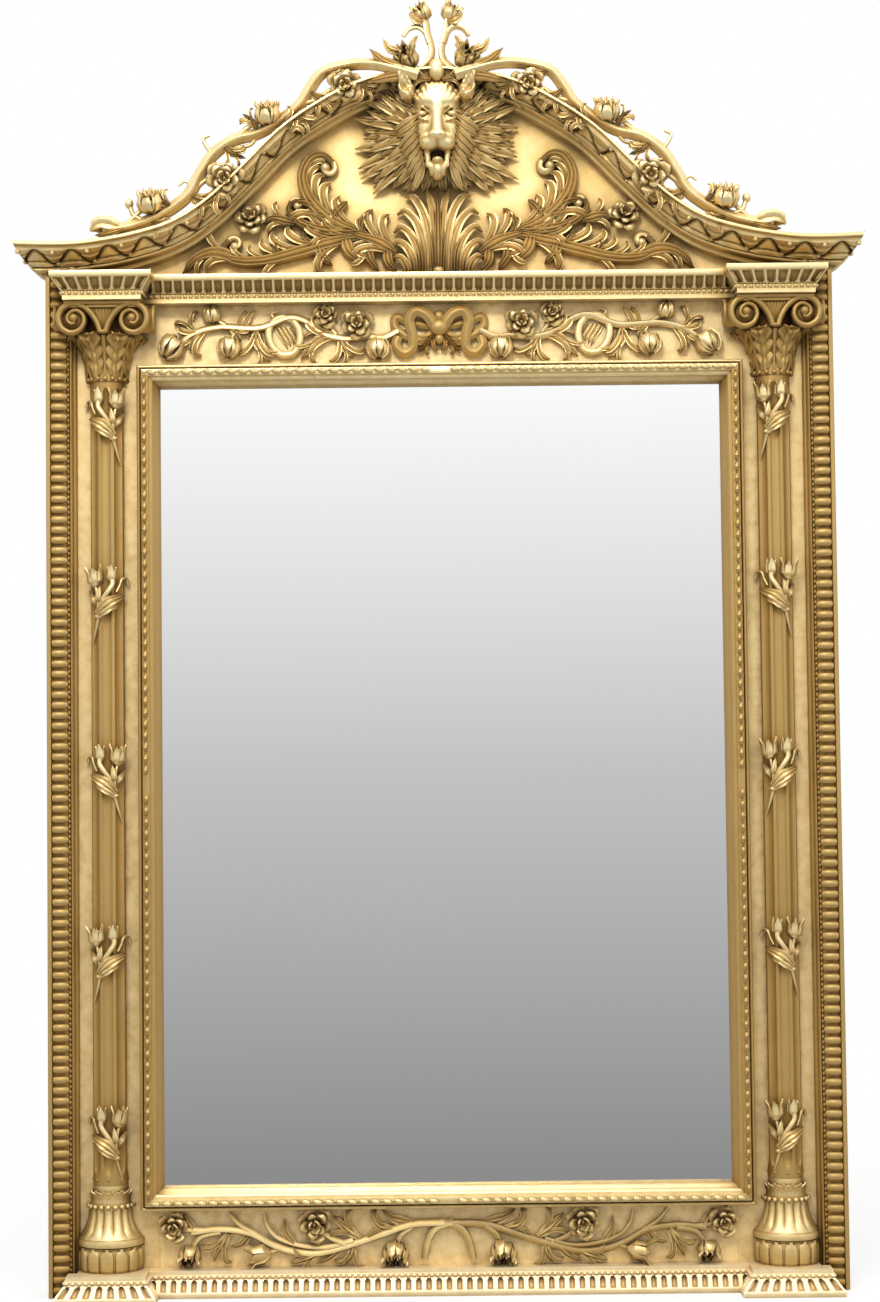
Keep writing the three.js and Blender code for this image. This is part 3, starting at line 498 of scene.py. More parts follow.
def acanthus(points, width, rise, fingers, sweep, wide, thick, groove, out):
    """A toothed leaf along (x, depth, z) points. wide gives its width from root to tip."""
    path = line(points, 46)
    forward, side, up = frames(path, out)
    u, v = np.linspace(0, 1, 46)[:, None], np.linspace(-1, 1, 15)[None, :]
    swell, edge = shape_by(u, *wide), np.abs(v)
    finger = 0.5 + 0.5 * np.cos(2 * math.pi * (u * fingers - 0.5))
    notch = 0.42 * (1 - finger) ** 2 * (0.35 + 0.65 * np.sin(math.pi * np.clip(u * 1.15, 0, 1)))
    half = width / 2 * swell * (1 - notch)
    lean = sweep * width / 2 * swell * edge**1.6
    arch = rise * (0.35 + 0.65 * swell) * (1 - 0.75 * edge**2.2)
    ridges = rise * groove * swell * (finger * 1.6 - 0.8) * np.sin(
        math.pi * np.clip(edge, 0, 1) ** 0.8 * 0.62
    )
    midrib = rise * 0.26 * np.exp(-((v / 0.16) ** 2)) - rise * 0.28 * np.exp(-(((edge - 0.27) / 0.12) ** 2))
    middle = path[:, None] + forward[:, None] * lean[..., None]
    return leaf_shell(middle, side, up, half * v, arch + ridges + midrib, thick)


BLADE = ((0, 0.25), (0.35, 1.0), (0.75, 0.62), (1.0, 0.03))


def blade(points, width, rise):
    """A plain pointed leaf with a sunk midrib."""
    path = line(points, 22)
    _, side, up = frames(path)
    u, v = np.linspace(0, 1, 22)[:, None], np.linspace(-1, 1, 9)[None, :]
    swell, edge = shape_by(u, *BLADE), np.abs(v)
    lift = rise * (0.3 + 0.7 * swell) * (1 - 0.8 * edge**1.8) - rise * 0.3 * np.exp(-((v / 0.2) ** 2))
    return leaf_shell(path[:, None], side, up, width / 2 * swell * v, lift, 1.6)


# %% [markdown]
# Most of the foliage isn't toothed like that but flows like hair: long leaves with grooves that run
# along them, and fingers that leave the stalk at a small angle and bend away from it.

# %% Grooved leaves and fronds
LOCK = ((0, 0.6), (0.35, 1.0), (0.75, 0.62), (1.0, 0.04))
POINTED = ((0, 0.55), (0.35, 1.0), (0.8, 0.6), (1.0, 0.04))
STALK = ((0, 0.55), (0.3, 1.0), (0.75, 0.8), (1.0, 0.45))
CLUB = ((0, 0.5), (0.4, 0.85), (0.75, 1.0), (1.0, 0.3))
# How far along its leaf, how far out and how far up each point of a finger lies.
FINGER = ((-0.15, 0.0, 0), (0.35, 0.16, 2), (0.74, 0.44, 3), (0.92, 0.78, 1), (0.82, 1.02, -2))


def lock(points, width, rise, strands=3, rows=22, across=13, thick=4.0, wide=LOCK, foot=None):
    """A long leaf or lock of hair with grooves that run along it."""
    path = line(points, rows)
    _, side, up = frames(path)
    u, v = np.linspace(0, 1, rows)[:, None], np.linspace(-1, 1, across)[None, :]
    swell = shape_by(u, *wide)
    grooves = rise * 0.30 * np.cos(strands * math.pi * v) * np.sqrt(swell)
    lift = rise * (1 - 0.7 * v**2) * (0.5 + 0.5 * swell) + grooves
    return leaf_shell(path[:, None], side, up, width / 2 * swell * v, lift, thick, foot)


def rolled_tip(path, start, curl):
    """The end of a leaf that rolls in on itself and closes in a bulb."""
    ahead = unit(path[-1] - path[-4])
    way = np.sign(np.cross(path[-5] - path[-9], path[-1] - path[-5]) @ OUT) or 1.0
    inwards = way * np.cross(OUT, ahead)
    turn = np.linspace(0, 1.35 * math.pi, 30)[:, None]
    r = curl * (1 - 0.62 * turn / turn[-1])
    around = r * (ahead * np.sin(turn) - inwards * np.cos(turn))
    roll = path[-1] + inwards * curl + around + OUT * 4 * turn / turn[-1]
    rod = tube(roll, np.linspace(start, curl * 0.5, 30), 14, ribs=3, rib=0.12)
    return [rod, ball(*place_of(roll[-1]), curl * 0.62)]


def finger(base, forward, aside, reach, rise, foot):
    """One finger of a frond, from its base on the stalk."""
    tips = [
        place_of(base + forward * reach * along + aside * reach * out + OUT * lift)
        for along, out, lift in FINGER
    ]
    flat = min(rise * 0.9, reach * 0.19)
    return lock(tips, reach * 0.36, flat, strands=2, rows=18, across=9, thick=3.0, wide=CLUB, foot=foot)


def frond(points, width, outer=0, inner=0, reach=24.0, rise=7.0, curl=0.0, strands=3, foot=None):
    """A flowing leaf: a grooved stalk, fingers that sweep forward from its sides, and a curled tip."""
    rows = 44
    path = line(points, rows)
    forward, side, _ = frames(path)
    stalk = width * (0.72 if outer + inner > 3 else 1.0)
    shells = [lock(points, stalk, rise, strands, rows, wide=STALK if curl else POINTED, foot=foot)]
    for way, count in ((1, outer), (-1, inner)):
        for i in range(count):
            place = (i + 0.35) / count
            k = int(rows * (0.08 + 0.74 * place))
            own = reach * (0.66 + 0.5 * math.sin(math.pi * min(1.0, place + 0.25)))
            base = path[k] + side[k] * way * width * 0.16
            shells.append(finger(base, forward[k], side[k] * way, own, rise, foot))
    if curl:
        shells.extend(rolled_tip(path, stalk * 0.24, curl))
    return shells


# %% [markdown]
# Every flower is petals round an axis. A petal is told how far it reaches from the axis, how far it
# lies along it, and how wide it is, from its base to its tip. A rose has its axis out of the board
# and three rings of petals, and a tulip has its axis in the board and closes at its top.

# %% Petals, roses and tulips
def petal(origin, axis, across_axis, angle, reach, lift, spread, thick, cup=0.0, rows=8):
    """reach, lift and half-width in radians, each given as stops from base to tip."""
    t = np.linspace(0, 1, rows)
    stops = lambda values: [(i / (len(values) - 1), value) for i, value in enumerate(values)]
    r, h, w = (shape_by(t, *stops(values)) for values in (reach, lift, spread))
    b = np.linspace(-1, 1, 7)
    e1 = np.asarray(across_axis, float)
    e2 = np.cross(axis, e1)
    turn = angle + w[:, None] * b
    radial = np.cos(turn)[..., None] * e1 + np.sin(turn)[..., None] * e2
    dr, dh = np.gradient(r), np.gradient(h)
    norm = np.hypot(dr, dh) + 1e-9
    lifted = h[:, None] + cup * b**2 * np.abs(r[:, None])
    outer = origin + r[:, None, None] * radial + lifted[..., None] * axis
    inner = outer - thick * ((dh / norm)[:, None, None] * radial - (dr / norm)[:, None, None] * axis)
    return skin(np.concatenate([outer, inner[:, ::-1]], 1))


# Reach and lift of a petal from base to tip, as shares of the flower's radius, from the outer ring in.
ROSE_RINGS = (
    ((0.2, 0.66, 0.96, 1.10), (-0.2, 0.02, 0.28, 0.16)),
    ((0.15, 0.42, 0.66, 0.80), (0.0, 0.26, 0.56, 0.52)),
    ((0.06, 0.26, 0.40, 0.42), (0.1, 0.46, 0.78, 0.94)),
)


def rose(x, depth, z, r, turn=0.0, tip=(0, 0), petals=(6, 5, 4)):
    """tip leans the flower's face, as a share of its axis, in x and z."""
    axis = unit(np.array([tip[0], -1.0, tip[1]]))
    e1 = unit(np.cross(axis, (0, 0, 1.0)))
    centre = spot(x, depth, z)
    shells = []
    for count, (reach, lift) in zip(petals, ROSE_RINGS):
        turn += 0.5
        half = math.pi / count
        width = (half * 0.8, half * 0.92, half * 0.84, half * 0.22)
        for k in range(count):
            own = r * (1 + 0.13 * math.sin(turn * 7 + k * 2.6))
            angle = turn + 2 * half * k + 0.12 * math.sin(k * 3.1 + turn)
            reached, lifted = np.multiply(reach, own), np.multiply(lift, own)
            shells.append(petal(centre, axis, e1, angle, reached, lifted, width, r * 0.11, -0.15))
    shells.append(ball(*place_of(centre + axis * r * 0.3), r * 0.15, r * 0.25, across=10, up=7))
    return shells


def bloom(x, depth, z, r, heading, petals=7, closed=False):
    """A full head that looks along heading (x, z) and a little outwards, with flaring or folded tips."""
    axis = unit(np.array([heading[0], -0.5, heading[1]]))
    e1 = unit(np.cross(axis, (0.3, 0.2, 1.0)))
    centre = spot(x, depth, z)
    shells = []
    for layer, (size, count) in enumerate(((1.0, petals), (0.86, petals - 1), (0.62, petals - 2))):
        half = math.pi / count
        width = (half * 1.2, half * 0.92, half * 0.80, half * 0.58, half * 0.12)
        for k in range(count):
            own = r * size * (1 + 0.07 * math.sin(k * 2.9 + layer * 1.7))
            angle = 2 * half * (k + 0.5 * layer) + 0.1 * math.sin(k * 2.3)
            flare = 0.30 if closed else 1.12 - 0.2 * layer - 0.22 * (k % 2)
            reach = np.multiply((0.2, 0.82, 0.98, 0.80, flare), own)
            lift = np.multiply((-0.85, -0.5, 0.1, 0.62, 0.92 + 0.08 * layer), own)
            shells.append(petal(centre, axis, e1, angle, reach, lift, width, r * 0.13, -0.16, 12))
    heart = centre + axis * r * (0.25 if closed else -0.3)
    shells.append(ball(*place_of(heart), r * 0.5, across=12, up=8))
    return shells


def tulip(base, tip, r, turn=0.3, petals=5, flare=0.75, open_=0.35):
    """A cupped flower from base to tip, both (x, depth, z)."""
    a, b = spot(*base), spot(*tip)
    axis = unit(b - a)
    e1 = unit(np.cross(axis, OUT))
    length = np.linalg.norm(b - a)
    half = math.pi / petals
    width = (half, half * 1.05, half * 0.85, 0.08)
    shells = []
    for k in range(petals):
        own = 1 if k % 2 else 0.82
        reach = (r * 0.3, r * 0.85 * own, r * 0.85 * own, r * (flare + open_) * own)
        lift = (0, length * 0.28, length * 0.66, length * (1.0 if k % 2 else 0.88))
        angle = turn + 2 * half * k
        shells.append(petal(a, axis, e1, angle, reach, lift, width, r * 0.16, -0.12, 11))
    heart = a + axis * length * 0.45
    shells.append(ball(*place_of(heart), r * 0.5, r * 0.5, r * 0.7, across=12, up=8))
    return shells


print("a rose has", len(rose(0, 0, 0, 10)), "shells")

# %% [markdown]
# ## Rows of ornament
# Beads, gadroons, flutes and laurel leaves are one small carving repeated along an edge. That is
# work for Geometry Nodes: a tree sets points out, puts the ornament on each, realizes the copies
# and joins them to the plain moulding. Three trees cover the frame: a straight row, a row round a
# column, and a row along a curved edge. The result is kept as a plain mesh.

# %% Trees that repeat an ornament
def new_tree(name, *sockets):
    made = bpy.data.node_groups.new(name, "GeometryNodeTree")
    always = (("Geometry", "Geometry"), ("Ornament", "Object"), ("Count", "Int"))
    for label, kind in (*always, *sockets, ("Finish", "Material")):
        made.interface.new_socket(label, in_out="INPUT", socket_type="NodeSocket" + kind)
    made.interface.new_socket("Geometry", in_out="OUTPUT", socket_type="NodeSocketGeometry")
    return made, made.nodes.new("NodeGroupInput").outputs


def tree_node(tree, kind, inputs=None, **settings):
    made = tree.nodes.new(kind)
    for key, value in settings.items():
        setattr(made, key, value)
    for key, value in (inputs or {}).items():
        if isinstance(value, bpy.types.NodeSocket):
            tree.links.new(value, made.inputs[key])
        else:
            made.inputs[key].default_value = value
    return made.outputs


def finish_tree(tree, given, points, rotation, scale=(1, 1, 1)):
    """Instances the ornament on points, joins the moulding and sets the finish."""
    ornament = tree_node(tree, "GeometryNodeObjectInfo", {"Object": given["Ornament"]})
    inputs = {"Points": points, "Instance": ornament["Geometry"], "Rotation": rotation, "Scale": scale}
    copies = tree_node(tree, "GeometryNodeInstanceOnPoints", inputs)
    joined = tree.nodes.new("GeometryNodeJoinGeometry")
    tree.links.new(copies[0], joined.inputs[0])
    tree.links.new(given["Geometry"], joined.inputs[0])
    real = tree_node(tree, "GeometryNodeRealizeInstances", {0: joined.outputs[0]})
    painted = tree_node(tree, "GeometryNodeSetMaterial", {"Geometry": real[0], "Material": given["Finish"]})
    tree.links.new(painted[0], tree.nodes.new("NodeGroupOutput").inputs[0])
    return tree


def straight_tree():
    """Copies along a straight line, from a first place by equal steps."""
    vectors = [(label, "Vector") for label in ("First", "Step", "Turn", "Size")]
    tree, given = new_tree("straight_row", *vectors)
    inputs = {"Count": given["Count"], "Start Location": given["First"], "Offset": given["Step"]}
    row = tree_node(tree, "GeometryNodeMeshLine", inputs, mode="OFFSET")
    return finish_tree(tree, given, row[0], given["Turn"], given["Size"])


def ring_tree():
    """Copies round a column: the ornament faces -Y and turns with its place on the ring."""
    numbers = [(label, "Float") for label in ("Radius", "First Turn", "Step Turn")]
    tree, given = new_tree("ring_row", ("Centre", "Vector"), *numbers)
    row = tree_node(tree, "GeometryNodeMeshLine", {"Count": given["Count"]}, mode="OFFSET")
    index = tree_node(tree, "GeometryNodeInputIndex")[0]
    inputs = {0: index, 1: given["Step Turn"], 2: given["First Turn"]}
    turn = tree_node(tree, "ShaderNodeMath", inputs, operation="MULTIPLY_ADD")[0]
    spin = tree_node(tree, "ShaderNodeCombineXYZ", {"Z": turn})[0]
    away = tree_node(tree, "ShaderNodeMath", {0: given["Radius"], 1: -1.0}, operation="MULTIPLY")[0]
    arm = tree_node(tree, "ShaderNodeCombineXYZ", {"Y": away})[0]
    inputs = {"Vector": arm, "Rotation": spin}
    swung = tree_node(tree, "ShaderNodeVectorRotate", inputs, rotation_type="EULER_XYZ")[0]
    place = tree_node(tree, "ShaderNodeVectorMath", {0: swung, 1: given["Centre"]}, operation="ADD")[0]
    points = tree_node(tree, "GeometryNodeSetPosition", {"Geometry": row[0], "Position": place})
    return finish_tree(tree, given, points[0], spin)


def edge_tree():
    """Copies along a drawn edge: the ornament's X follows the edge and its -Y stays in front."""
    tree, given = new_tree("edge_row", ("Edge", "Object"), ("Size", "Vector"))
    edge = tree_node(tree, "GeometryNodeObjectInfo", {"Object": given["Edge"]})
    curve = tree_node(tree, "GeometryNodeMeshToCurve", {"Mesh": edge["Geometry"]})
    even = tree_node(tree, "GeometryNodeResampleCurve", {"Curve": curve[0], "Count": given["Count"]})
    tangent = tree_node(tree, "GeometryNodeInputTangent")[0]
    align = {"axis": "X", "pivot_axis": "Y"}
    along = tree_node(tree, "FunctionNodeAlignRotationToVector", {"Vector": tangent}, **align)[0]
    points = tree_node(tree, "GeometryNodeCurveToPoints", {"Curve": even[0]}, mode="EVALUATED")
    inputs = {"Geometry": even[0], "Name": "along", "Value": along}
    kind = {"data_type": "QUATERNION", "domain": "POINT"}
    held = tree_node(tree, "GeometryNodeStoreNamedAttribute", inputs, **kind)
    tree.links.new(held[0], points[0].node.inputs["Curve"])
    turn = tree_node(tree, "GeometryNodeInputNamedAttribute", {"Name": "along"}, data_type="QUATERNION")
    return finish_tree(tree, given, points[0], turn[0], given["Size"])


STRAIGHT, RING, EDGE = straight_tree(), ring_tree(), edge_tree()


def repeat(host, tree, ornament, count, finish="toned_shaded_moulding", **inputs):
    """Adds a row to a moulding. Lengths are in millimetres, as everywhere in this script."""
    modifier = host.modifiers.new(tree.name, "NODES")
    modifier.node_group = tree
    values = {key.replace("_", " ").title(): value for key, value in inputs.items()}
    values |= {"Ornament": ornament, "Count": count, "Finish": finishes[finish]}
    for socket in tree.interface.items_tree:
        if socket.in_out == "INPUT" and socket.name in values:
            value = values[socket.name]
            if socket.name in ("First", "Step", "Centre"):
                value = [c * MM for c in value]
            elif socket.name == "Radius":
                value = value * MM
            modifier[socket.identifier] = value
    return host


def keep_result(host):
    """Turns what the trees made into the object's own mesh."""
    evaluated = host.evaluated_get(bpy.context.evaluated_depsgraph_get())
    mesh = bpy.data.meshes.new_from_object(evaluated)
    host.modifiers.clear()
    host.data = mesh
    return host


def ornament(*shells):
    """A loose carving round the origin, with depth counted from the origin."""
    made = Carving()
    made.add(*[(points - spot(0, 0, 0), quads, tris) for points, quads, tris in shells])
    unit = made.object("loose")
    unit.hide_render = True
    return unit


def clear_ornaments():
    """Removes the loose ornaments once their rows are meshes."""
    for loose in [o for o in scene.objects if o.name.startswith("loose")]:
        bpy.data.objects.remove(loose)


print("trees:", STRAIGHT.name, RING.name, EDGE.name)

# %% [markdown]
# ## Side mouldings
# Up each side runs a narrow fillet, a half-round, a string of small beads and a band of gadroons,
# the plump bars that lie across the moulding. The plain section is one sweep. The bars and beads
# are rows on it, so each casts its own shadow.

# %% Sections and sweeps
def bow(a, b, sag, count=8):
    """Section points from a to b, bowed by sag to the left of the way."""
    t = np.linspace(0, 1, count)[:, None]
    a, b = np.array(a, float), np.array(b, float)
    left = np.array([-(b - a)[1], (b - a)[0]]) / np.linalg.norm(b - a)
    return [tuple(p) for p in a + (b - a) * t + left * sag * 4 * t * (1 - t)]


def side_points(section, s, z):
    return [(s * (SIDE_IN + out), GROUND - proud, z) for out, proud in section]


def gadroon(length, rise, half):
    """A plump bar along X that rises from its ends to the middle."""
    humps = ((-0.5, 0), (-0.42, 0.5), (-0.2, 1), (0.2, 0.95), (0.42, 0.55), (0.5, 0.2))
    path = np.array([(length * along, -rise * up, 0.0) for along, up in humps])
    radius = np.array([0.3, 0.86, 1.0, 1.0, 0.92, 0.3]) * half
    return tube(path + spot(0, 0, 0), radius, 14, flat=0.8)


side_section = [
    (0, 0.3), (0, 5), *bow((1.0, 6.6), (4.6, 8), 0.6, 4), (4.9, 16),
    *bow((5, 18), (9.2, 18), 2.6, 8), (9.6, 18.5), (12.6, 19), *bow((13, 22), (32.4, 27), 3.4, 10),
    (33.2, 27), (33.6, 31.6), (34.4, 32.6), (39, 32.4), (40, 31.4), (40, 0.3),
]
GADROON_PITCH, GADROON_LEAN = 14.4, 0.14
BAR_OUT, BAR_PROUD, BEAD_OUT, BEAD_PROUD = 22.6, 26.4, 11.0, 19.6
for side, s in SIDES:
    rings = [side_points(side_section, s, z) for z in np.linspace(0, TOP, 30)]
    body = Carving()
    body.add(skin(rings))
    moulding = body.object(f"side_moulding_{side}")
    count = int(TOP / GADROON_PITCH)
    first = (TOP - (count - 1) * GADROON_PITCH) / 2
    bar = ornament(gadroon(21.5, 4.6, 5.5))
    bead = ornament(ball(0, 0, 0, 2.5, 2.6, 2.9, 10, 7))
    bars = {"first": spot(s * (SIDE_IN + BAR_OUT), BAR_PROUD, first), "step": (0, 0, GADROON_PITCH)}
    repeat(moulding, STRAIGHT, bar, count, turn=(0, 0, -s * GADROON_LEAN), size=(s, 1, 1), **bars)
    bead_at = spot(s * (SIDE_IN + BEAD_OUT), BEAD_PROUD, first - GADROON_PITCH / 4)
    beads = {"first": bead_at, "step": (0, 0, GADROON_PITCH / 2)}
    repeat(moulding, STRAIGHT, bead, count * 2, turn=(0, 0, 0), size=(1, 1, 1), **beads)
    settle(keep_result(moulding), [f"fluted_moulding_{side}"], finish="toned_shaded_moulding")
clear_ornaments()
print("side mouldings:", count, "gadroons each")

# %% [markdown]
# ## Sight moulding
# Round the glass run a bevel, a round and a string of slanting leaf beads, inside a plain outer
# fillet. The four lengths are mitred. On each side the beads start at a plain stretch in the
# middle and point away from it, towards the corners.

# %% Four mitred lengths with leaf beads
sight_section = [
    (0, -8), (0, -4), (1.4, -1), *bow((1.6, 2), (6.2, 17), 1.6, 7), (6.8, 19.6),
    *bow((7.4, 19.8), (12.2, 26.4), 2.6, 8), (12.8, 26.6), (13.3, 29.4), *bow((14, 29.6), (23, 29), 0.8, 5),
    (23.4, 27), (24.2, 22), (25, 21.6), (25.6, 24.4), *bow((26.4, 25), (29, 24.4), 0.5, 4),
    (30, 22.6), (30, 0.3), (5.7, 0.3), (5.7, -8),
]
LEAF_BEAD_PITCH, PLAIN_HALF, BEAD_ROW_OUT, BEAD_ROW_PROUD = 16.0, 21.0, 18.6, 29.5
leaf_bead_path = np.array([
    (-6.6, -0.6, 0.9), (-4.6, -2.2, 0.8), (-1.2, -3.4, 0.3),
    (2.6, -2.8, -0.5), (5.2, -1.6, -1.2), (7.0, -0.4, -1.6),
])
leaf_bead_shell = tube(leaf_bead_path + spot(0, 0, 0), np.array([0.5, 2.7, 3.5, 2.9, 1.7, 0.3]), 10)
leaf_bead = ornament(leaf_bead_shell, ball(8.0, 0.6, -0.6, 1.5, across=8, up=6))
MIDDLE = (GLASS_LOW + GLASS_HIGH) / 2
GLASS_WIDE, GLASS_TALL = 2 * SIGHT_HALF, GLASS_HIGH - GLASS_LOW
SIGHT_LENGTHS = (
    ("left", (-1, 0), GLASS_TALL), ("right", (1, 0), GLASS_TALL),
    ("top", (0, 1), GLASS_WIDE), ("bottom", (0, -1), GLASS_WIDE),
)


def sight_point(sx, sz, along, out, proud):
    """A point of one length, by its place along it, and its distance out from the glass's edge."""
    if sx:
        return spot(sx * (SIGHT_HALF + out), proud, MIDDLE + along)
    return spot(along, proud, (GLASS_HIGH if sz > 0 else GLASS_LOW) + sz * out)


for name, (sx, sz), length in SIGHT_LENGTHS:
    ease = 0.3 if sx else 0.0  # keeps the upright lengths off the mitres of the level ones
    rings = [
        [sight_point(sx, sz, way * (length / 2 + (out - ease)), out, proud) for out, proud in sight_section]
        for way in (-1, 1)
    ]
    body = Carving()
    body.add(skin(rings))
    moulding = body.object(f"sight_{name}")
    # The upright lengths take the darker copy of the gilding, a painted shade.
    shaded_finish = "toned_shaded_moulding" if sx else "gilt_carving"
    count = int((length / 2 + 4) / LEAF_BEAD_PITCH)
    along = np.array([0, 0, 1.0]) if sx else np.array([1.0, 0, 0])
    centre = sight_point(sx, sz, 0, BEAD_ROW_OUT, BEAD_ROW_PROUD)
    for way in (-1, 1):
        turn = (0, -way * math.pi / 2, 0) if sx else (0, 0 if way > 0 else math.pi, 0)
        row = {"first": centre + along * way * PLAIN_HALF, "step": along * way * LEAF_BEAD_PITCH}
        repeat(moulding, STRAIGHT, leaf_bead, count, shaded_finish, turn=turn, size=(1, 1, 1), **row)
    settle(keep_result(moulding), [f"sight_moulding_{name}"])
clear_ornaments()
print("sight moulding done")

# %% [markdown]
# ## Base and entablature
# Both are the same cornice, one the right way up and one upside down: a plain edge, a string of
# beads, then a flaring band cut with upright flutes, and a fillet. It breaks forward over each
# column. The flutes are hollows with round ends, so the band's surface is pushed in along a grid.

# %% The flaring fluted band
FLARE = 16.0
band_profile = [(0, 0), (0, 0.16), (0.06, 0.18), (0.06, 0.31), (0.16, 0.33), (0.20, 0.35)]
band_profile += [(0.20 + 0.70 * t, 0.35 + 0.42 * t) for t in np.linspace(0.06, 1, 14)]
band_profile += [(0.93, 0.79), (0.98, 0.80), (1, 0.82), (1, 0.95), (0.98, 1)]
FLUTE_PITCH, FLUTE_IN = 14.0, 8.5


def flute_depth(across, up, half):
    """How deep a round-ended flute is, across from -1 to 1 and up the band from 0 to 1."""
    ends = np.clip((0.35 - up) / 0.4, 0, 1)
    return np.clip(1 - (across / half) ** 2 - ends**2, 0, 1) ** 0.35


def band_side(a, b, height, half, mitre_a, mitre_b):
    """A fluted face from a to b, (x, y) points of its near edge; mitres lengthen it as it flares."""
    a, b = np.array(a, float), np.array(b, float)
    run = np.linalg.norm(b - a)
    way = (b - a) / run
    normal = np.array([way[1], -way[0]])
    flutes = max(1, round(run / FLUTE_PITCH))
    cols = np.linspace(0, 1, flutes * 10 + 1)
    within = (cols * flutes) % 1 * 2 - 1
    rows = []
    for flare, up in band_profile:
        out = flare * FLARE
        along = -mitre_a * out + cols * (run + (mitre_a + mitre_b) * out)
        cut = FLUTE_IN * flute_depth(within, (up - 0.35) / 0.42, half) if 0.35 < up < 0.77 else 0 * cols
        xy = a + way * along[:, None] + normal * (out - cut)[:, None]
        rows.append(np.column_stack([xy, np.full(len(cols), height(up))]))
    return np.array(rows)


def bead_row(host, bead, p, q, z, finish):
    """Beads along the near edge from p to q, where it is long enough for them."""
    p, q = np.array(p, float), np.array(q, float)
    run = np.linalg.norm(q - p)
    if run < 12:
        return
    way = (q - p) / run
    count = max(2, round((run - 3) / 8.0))
    step = way * (run - 3) / (count - 1)
    normal = np.array([way[1], -way[0]])
    first = p + way * 1.5 + normal * 1.6
    turn = (0, 0, math.atan2(way[1], way[0]))
    repeat(
        host, STRAIGHT, bead, count, finish, first=(*first, z), step=(*step, 0), turn=turn,
        size=(1, 1, 1),
    )


def band(node, corners, back, rise, level, flip):
    """corners run along the near edge, and back closes the outline behind it."""
    # The base band takes the paler copy of the gilding, which is painted light.
    finish = "painted_light_moulding" if flip else "gilt_carving"
    height = lambda up: level + (-(up * rise) if flip else up * rise)
    flute_half = 0.46 if flip else 0.66
    bends = [
        np.cross(np.subtract(q, p), np.subtract(r, q))
        for p, q, r in zip(corners, corners[1:], corners[2:])
    ]
    mitres = [0, *[1 if bend > 0 else -1 for bend in bends], 0]
    edges = list(zip(corners, corners[1:]))
    faces = [band_side(p, q, height, flute_half, *mitres[i:i + 2]) for i, (p, q) in enumerate(edges)]
    grid = np.concatenate(faces, 1)
    behind = [np.column_stack([np.array(back, float), np.full(len(back), row[0, 2])]) for row in grid]
    solid = Carving()
    solid.add(skin(np.concatenate([grid, np.stack(behind)], 1)))
    made = solid.object(f"{node}_band")
    bead = ornament(ball(0, 0, 0, 3.1, 2.8, 2.5, 10, 7))
    for p, q in edges:
        bead_row(made, bead, p, q, level + (-1 if flip else 1) * rise * 0.245, finish)
    settle(keep_result(made), [node])
    clear_ornaments()


BLOCK_HALF, BLOCK_PROUD, BLOCK_SIDE, CENTRE_PROUD, EASE = 54.5, 64.0, 36.3, 28.0, 0.3
BANDS = (
    (BASE_TOP, 35.0, True, "base_moulding", "plinth_{}"),
    (ENTABLATURE_LOW, 38.0, False, "entablature", "entablature_block_{}"),
)
near, front, over, centre = (GROUND - proud for proud in (EASE, BLOCK_PROUD, BLOCK_SIDE, CENTRE_PROUD))
inner, outer = COLUMN_X - BLOCK_HALF, COLUMN_X + BLOCK_HALF
edge = inner - EASE
for level, rise, flip, middle_name, block_name in BANDS:
    band(middle_name, [(-edge, centre), (edge, centre)], [(edge, near), (-edge, near)], rise, level, flip)
    for side, s in SIDES:
        corners = [(inner, near), (inner, front), (outer, front), (outer, over)]
        back = [(SIDE_IN, over), (SIDE_IN, near)]
        if s < 0:
            corners, back = [[(-x, y) for x, y in reversed(row)] for row in (corners, back)]
        band(block_name.format(side), corners, back, rise, level, flip)
print("bands done")

# %% [markdown]
# ## Half columns
# Each column is half a turned post laid on the frame. A stack of half rings makes it, and a relief
# function pushes the surface in or out by its place round the post: flutes on the shaft, seven
# lobes on the bell of the base, and a row of tongues on its drum.

# %% Turned half posts
SHAFT_R, BASE_R = 24.4, 46.6
LOBE = math.pi / 7
FLUTE_TURN = math.pi / 4


def turned(s, profile, relief=None, around=99):
    """Half a post through (radius, z) points. relief(turn, z) is added to the radius."""
    turn = np.linspace(-math.pi / 2, math.pi / 2, around)[None, :]
    r, z = (np.array(values, float)[:, None] for values in zip(*profile))
    if relief:
        r = r + relief(turn, z)
    x = np.clip(COLUMN_X + s * r * np.sin(turn), 0, SIDE_IN - 0.3)
    xyz = np.stack(np.broadcast_arrays(s * x, GROUND - r * np.cos(turn), z), -1)
    return skin(xyz)


def cell_place(turn, pitch):
    """Where a turn lies across its own cell, from -1 to 1."""
    return (turn / pitch + 0.5) % 1 * 2 - 1


def shaft_relief(turn, z):
    ends = np.clip((180 - z) / 13, 0, 1) + np.clip((z - 1248) / 13, 0, 1)
    return -4.2 * np.sqrt(np.clip(1 - (cell_place(turn, FLUTE_TURN) / 0.72) ** 2 - ends**2, 0, 1))


def drum_relief(turn, z):
    """Tongues with round tops between narrow grooves."""
    up = (z - 39) / 28
    half = 0.9 * np.sqrt(np.clip(1 - np.clip((up - 0.62) / 0.36, 0, 1) ** 2, 0.0, 1))
    inside = np.clip(1 - (cell_place(turn, LOBE) / np.maximum(half, 1e-3)) ** 2, 0, 1)
    return np.where(up < 1, -3.2 + 3.2 * inside**0.32, 0)


def bell_relief(turn, z):
    fade = np.clip((z - 80) / 12, 0, 1) * np.clip((121 - z) / 4, 0, 1)
    return -3.6 * (1 - np.abs(np.cos(turn * 7)) ** 0.75) * fade


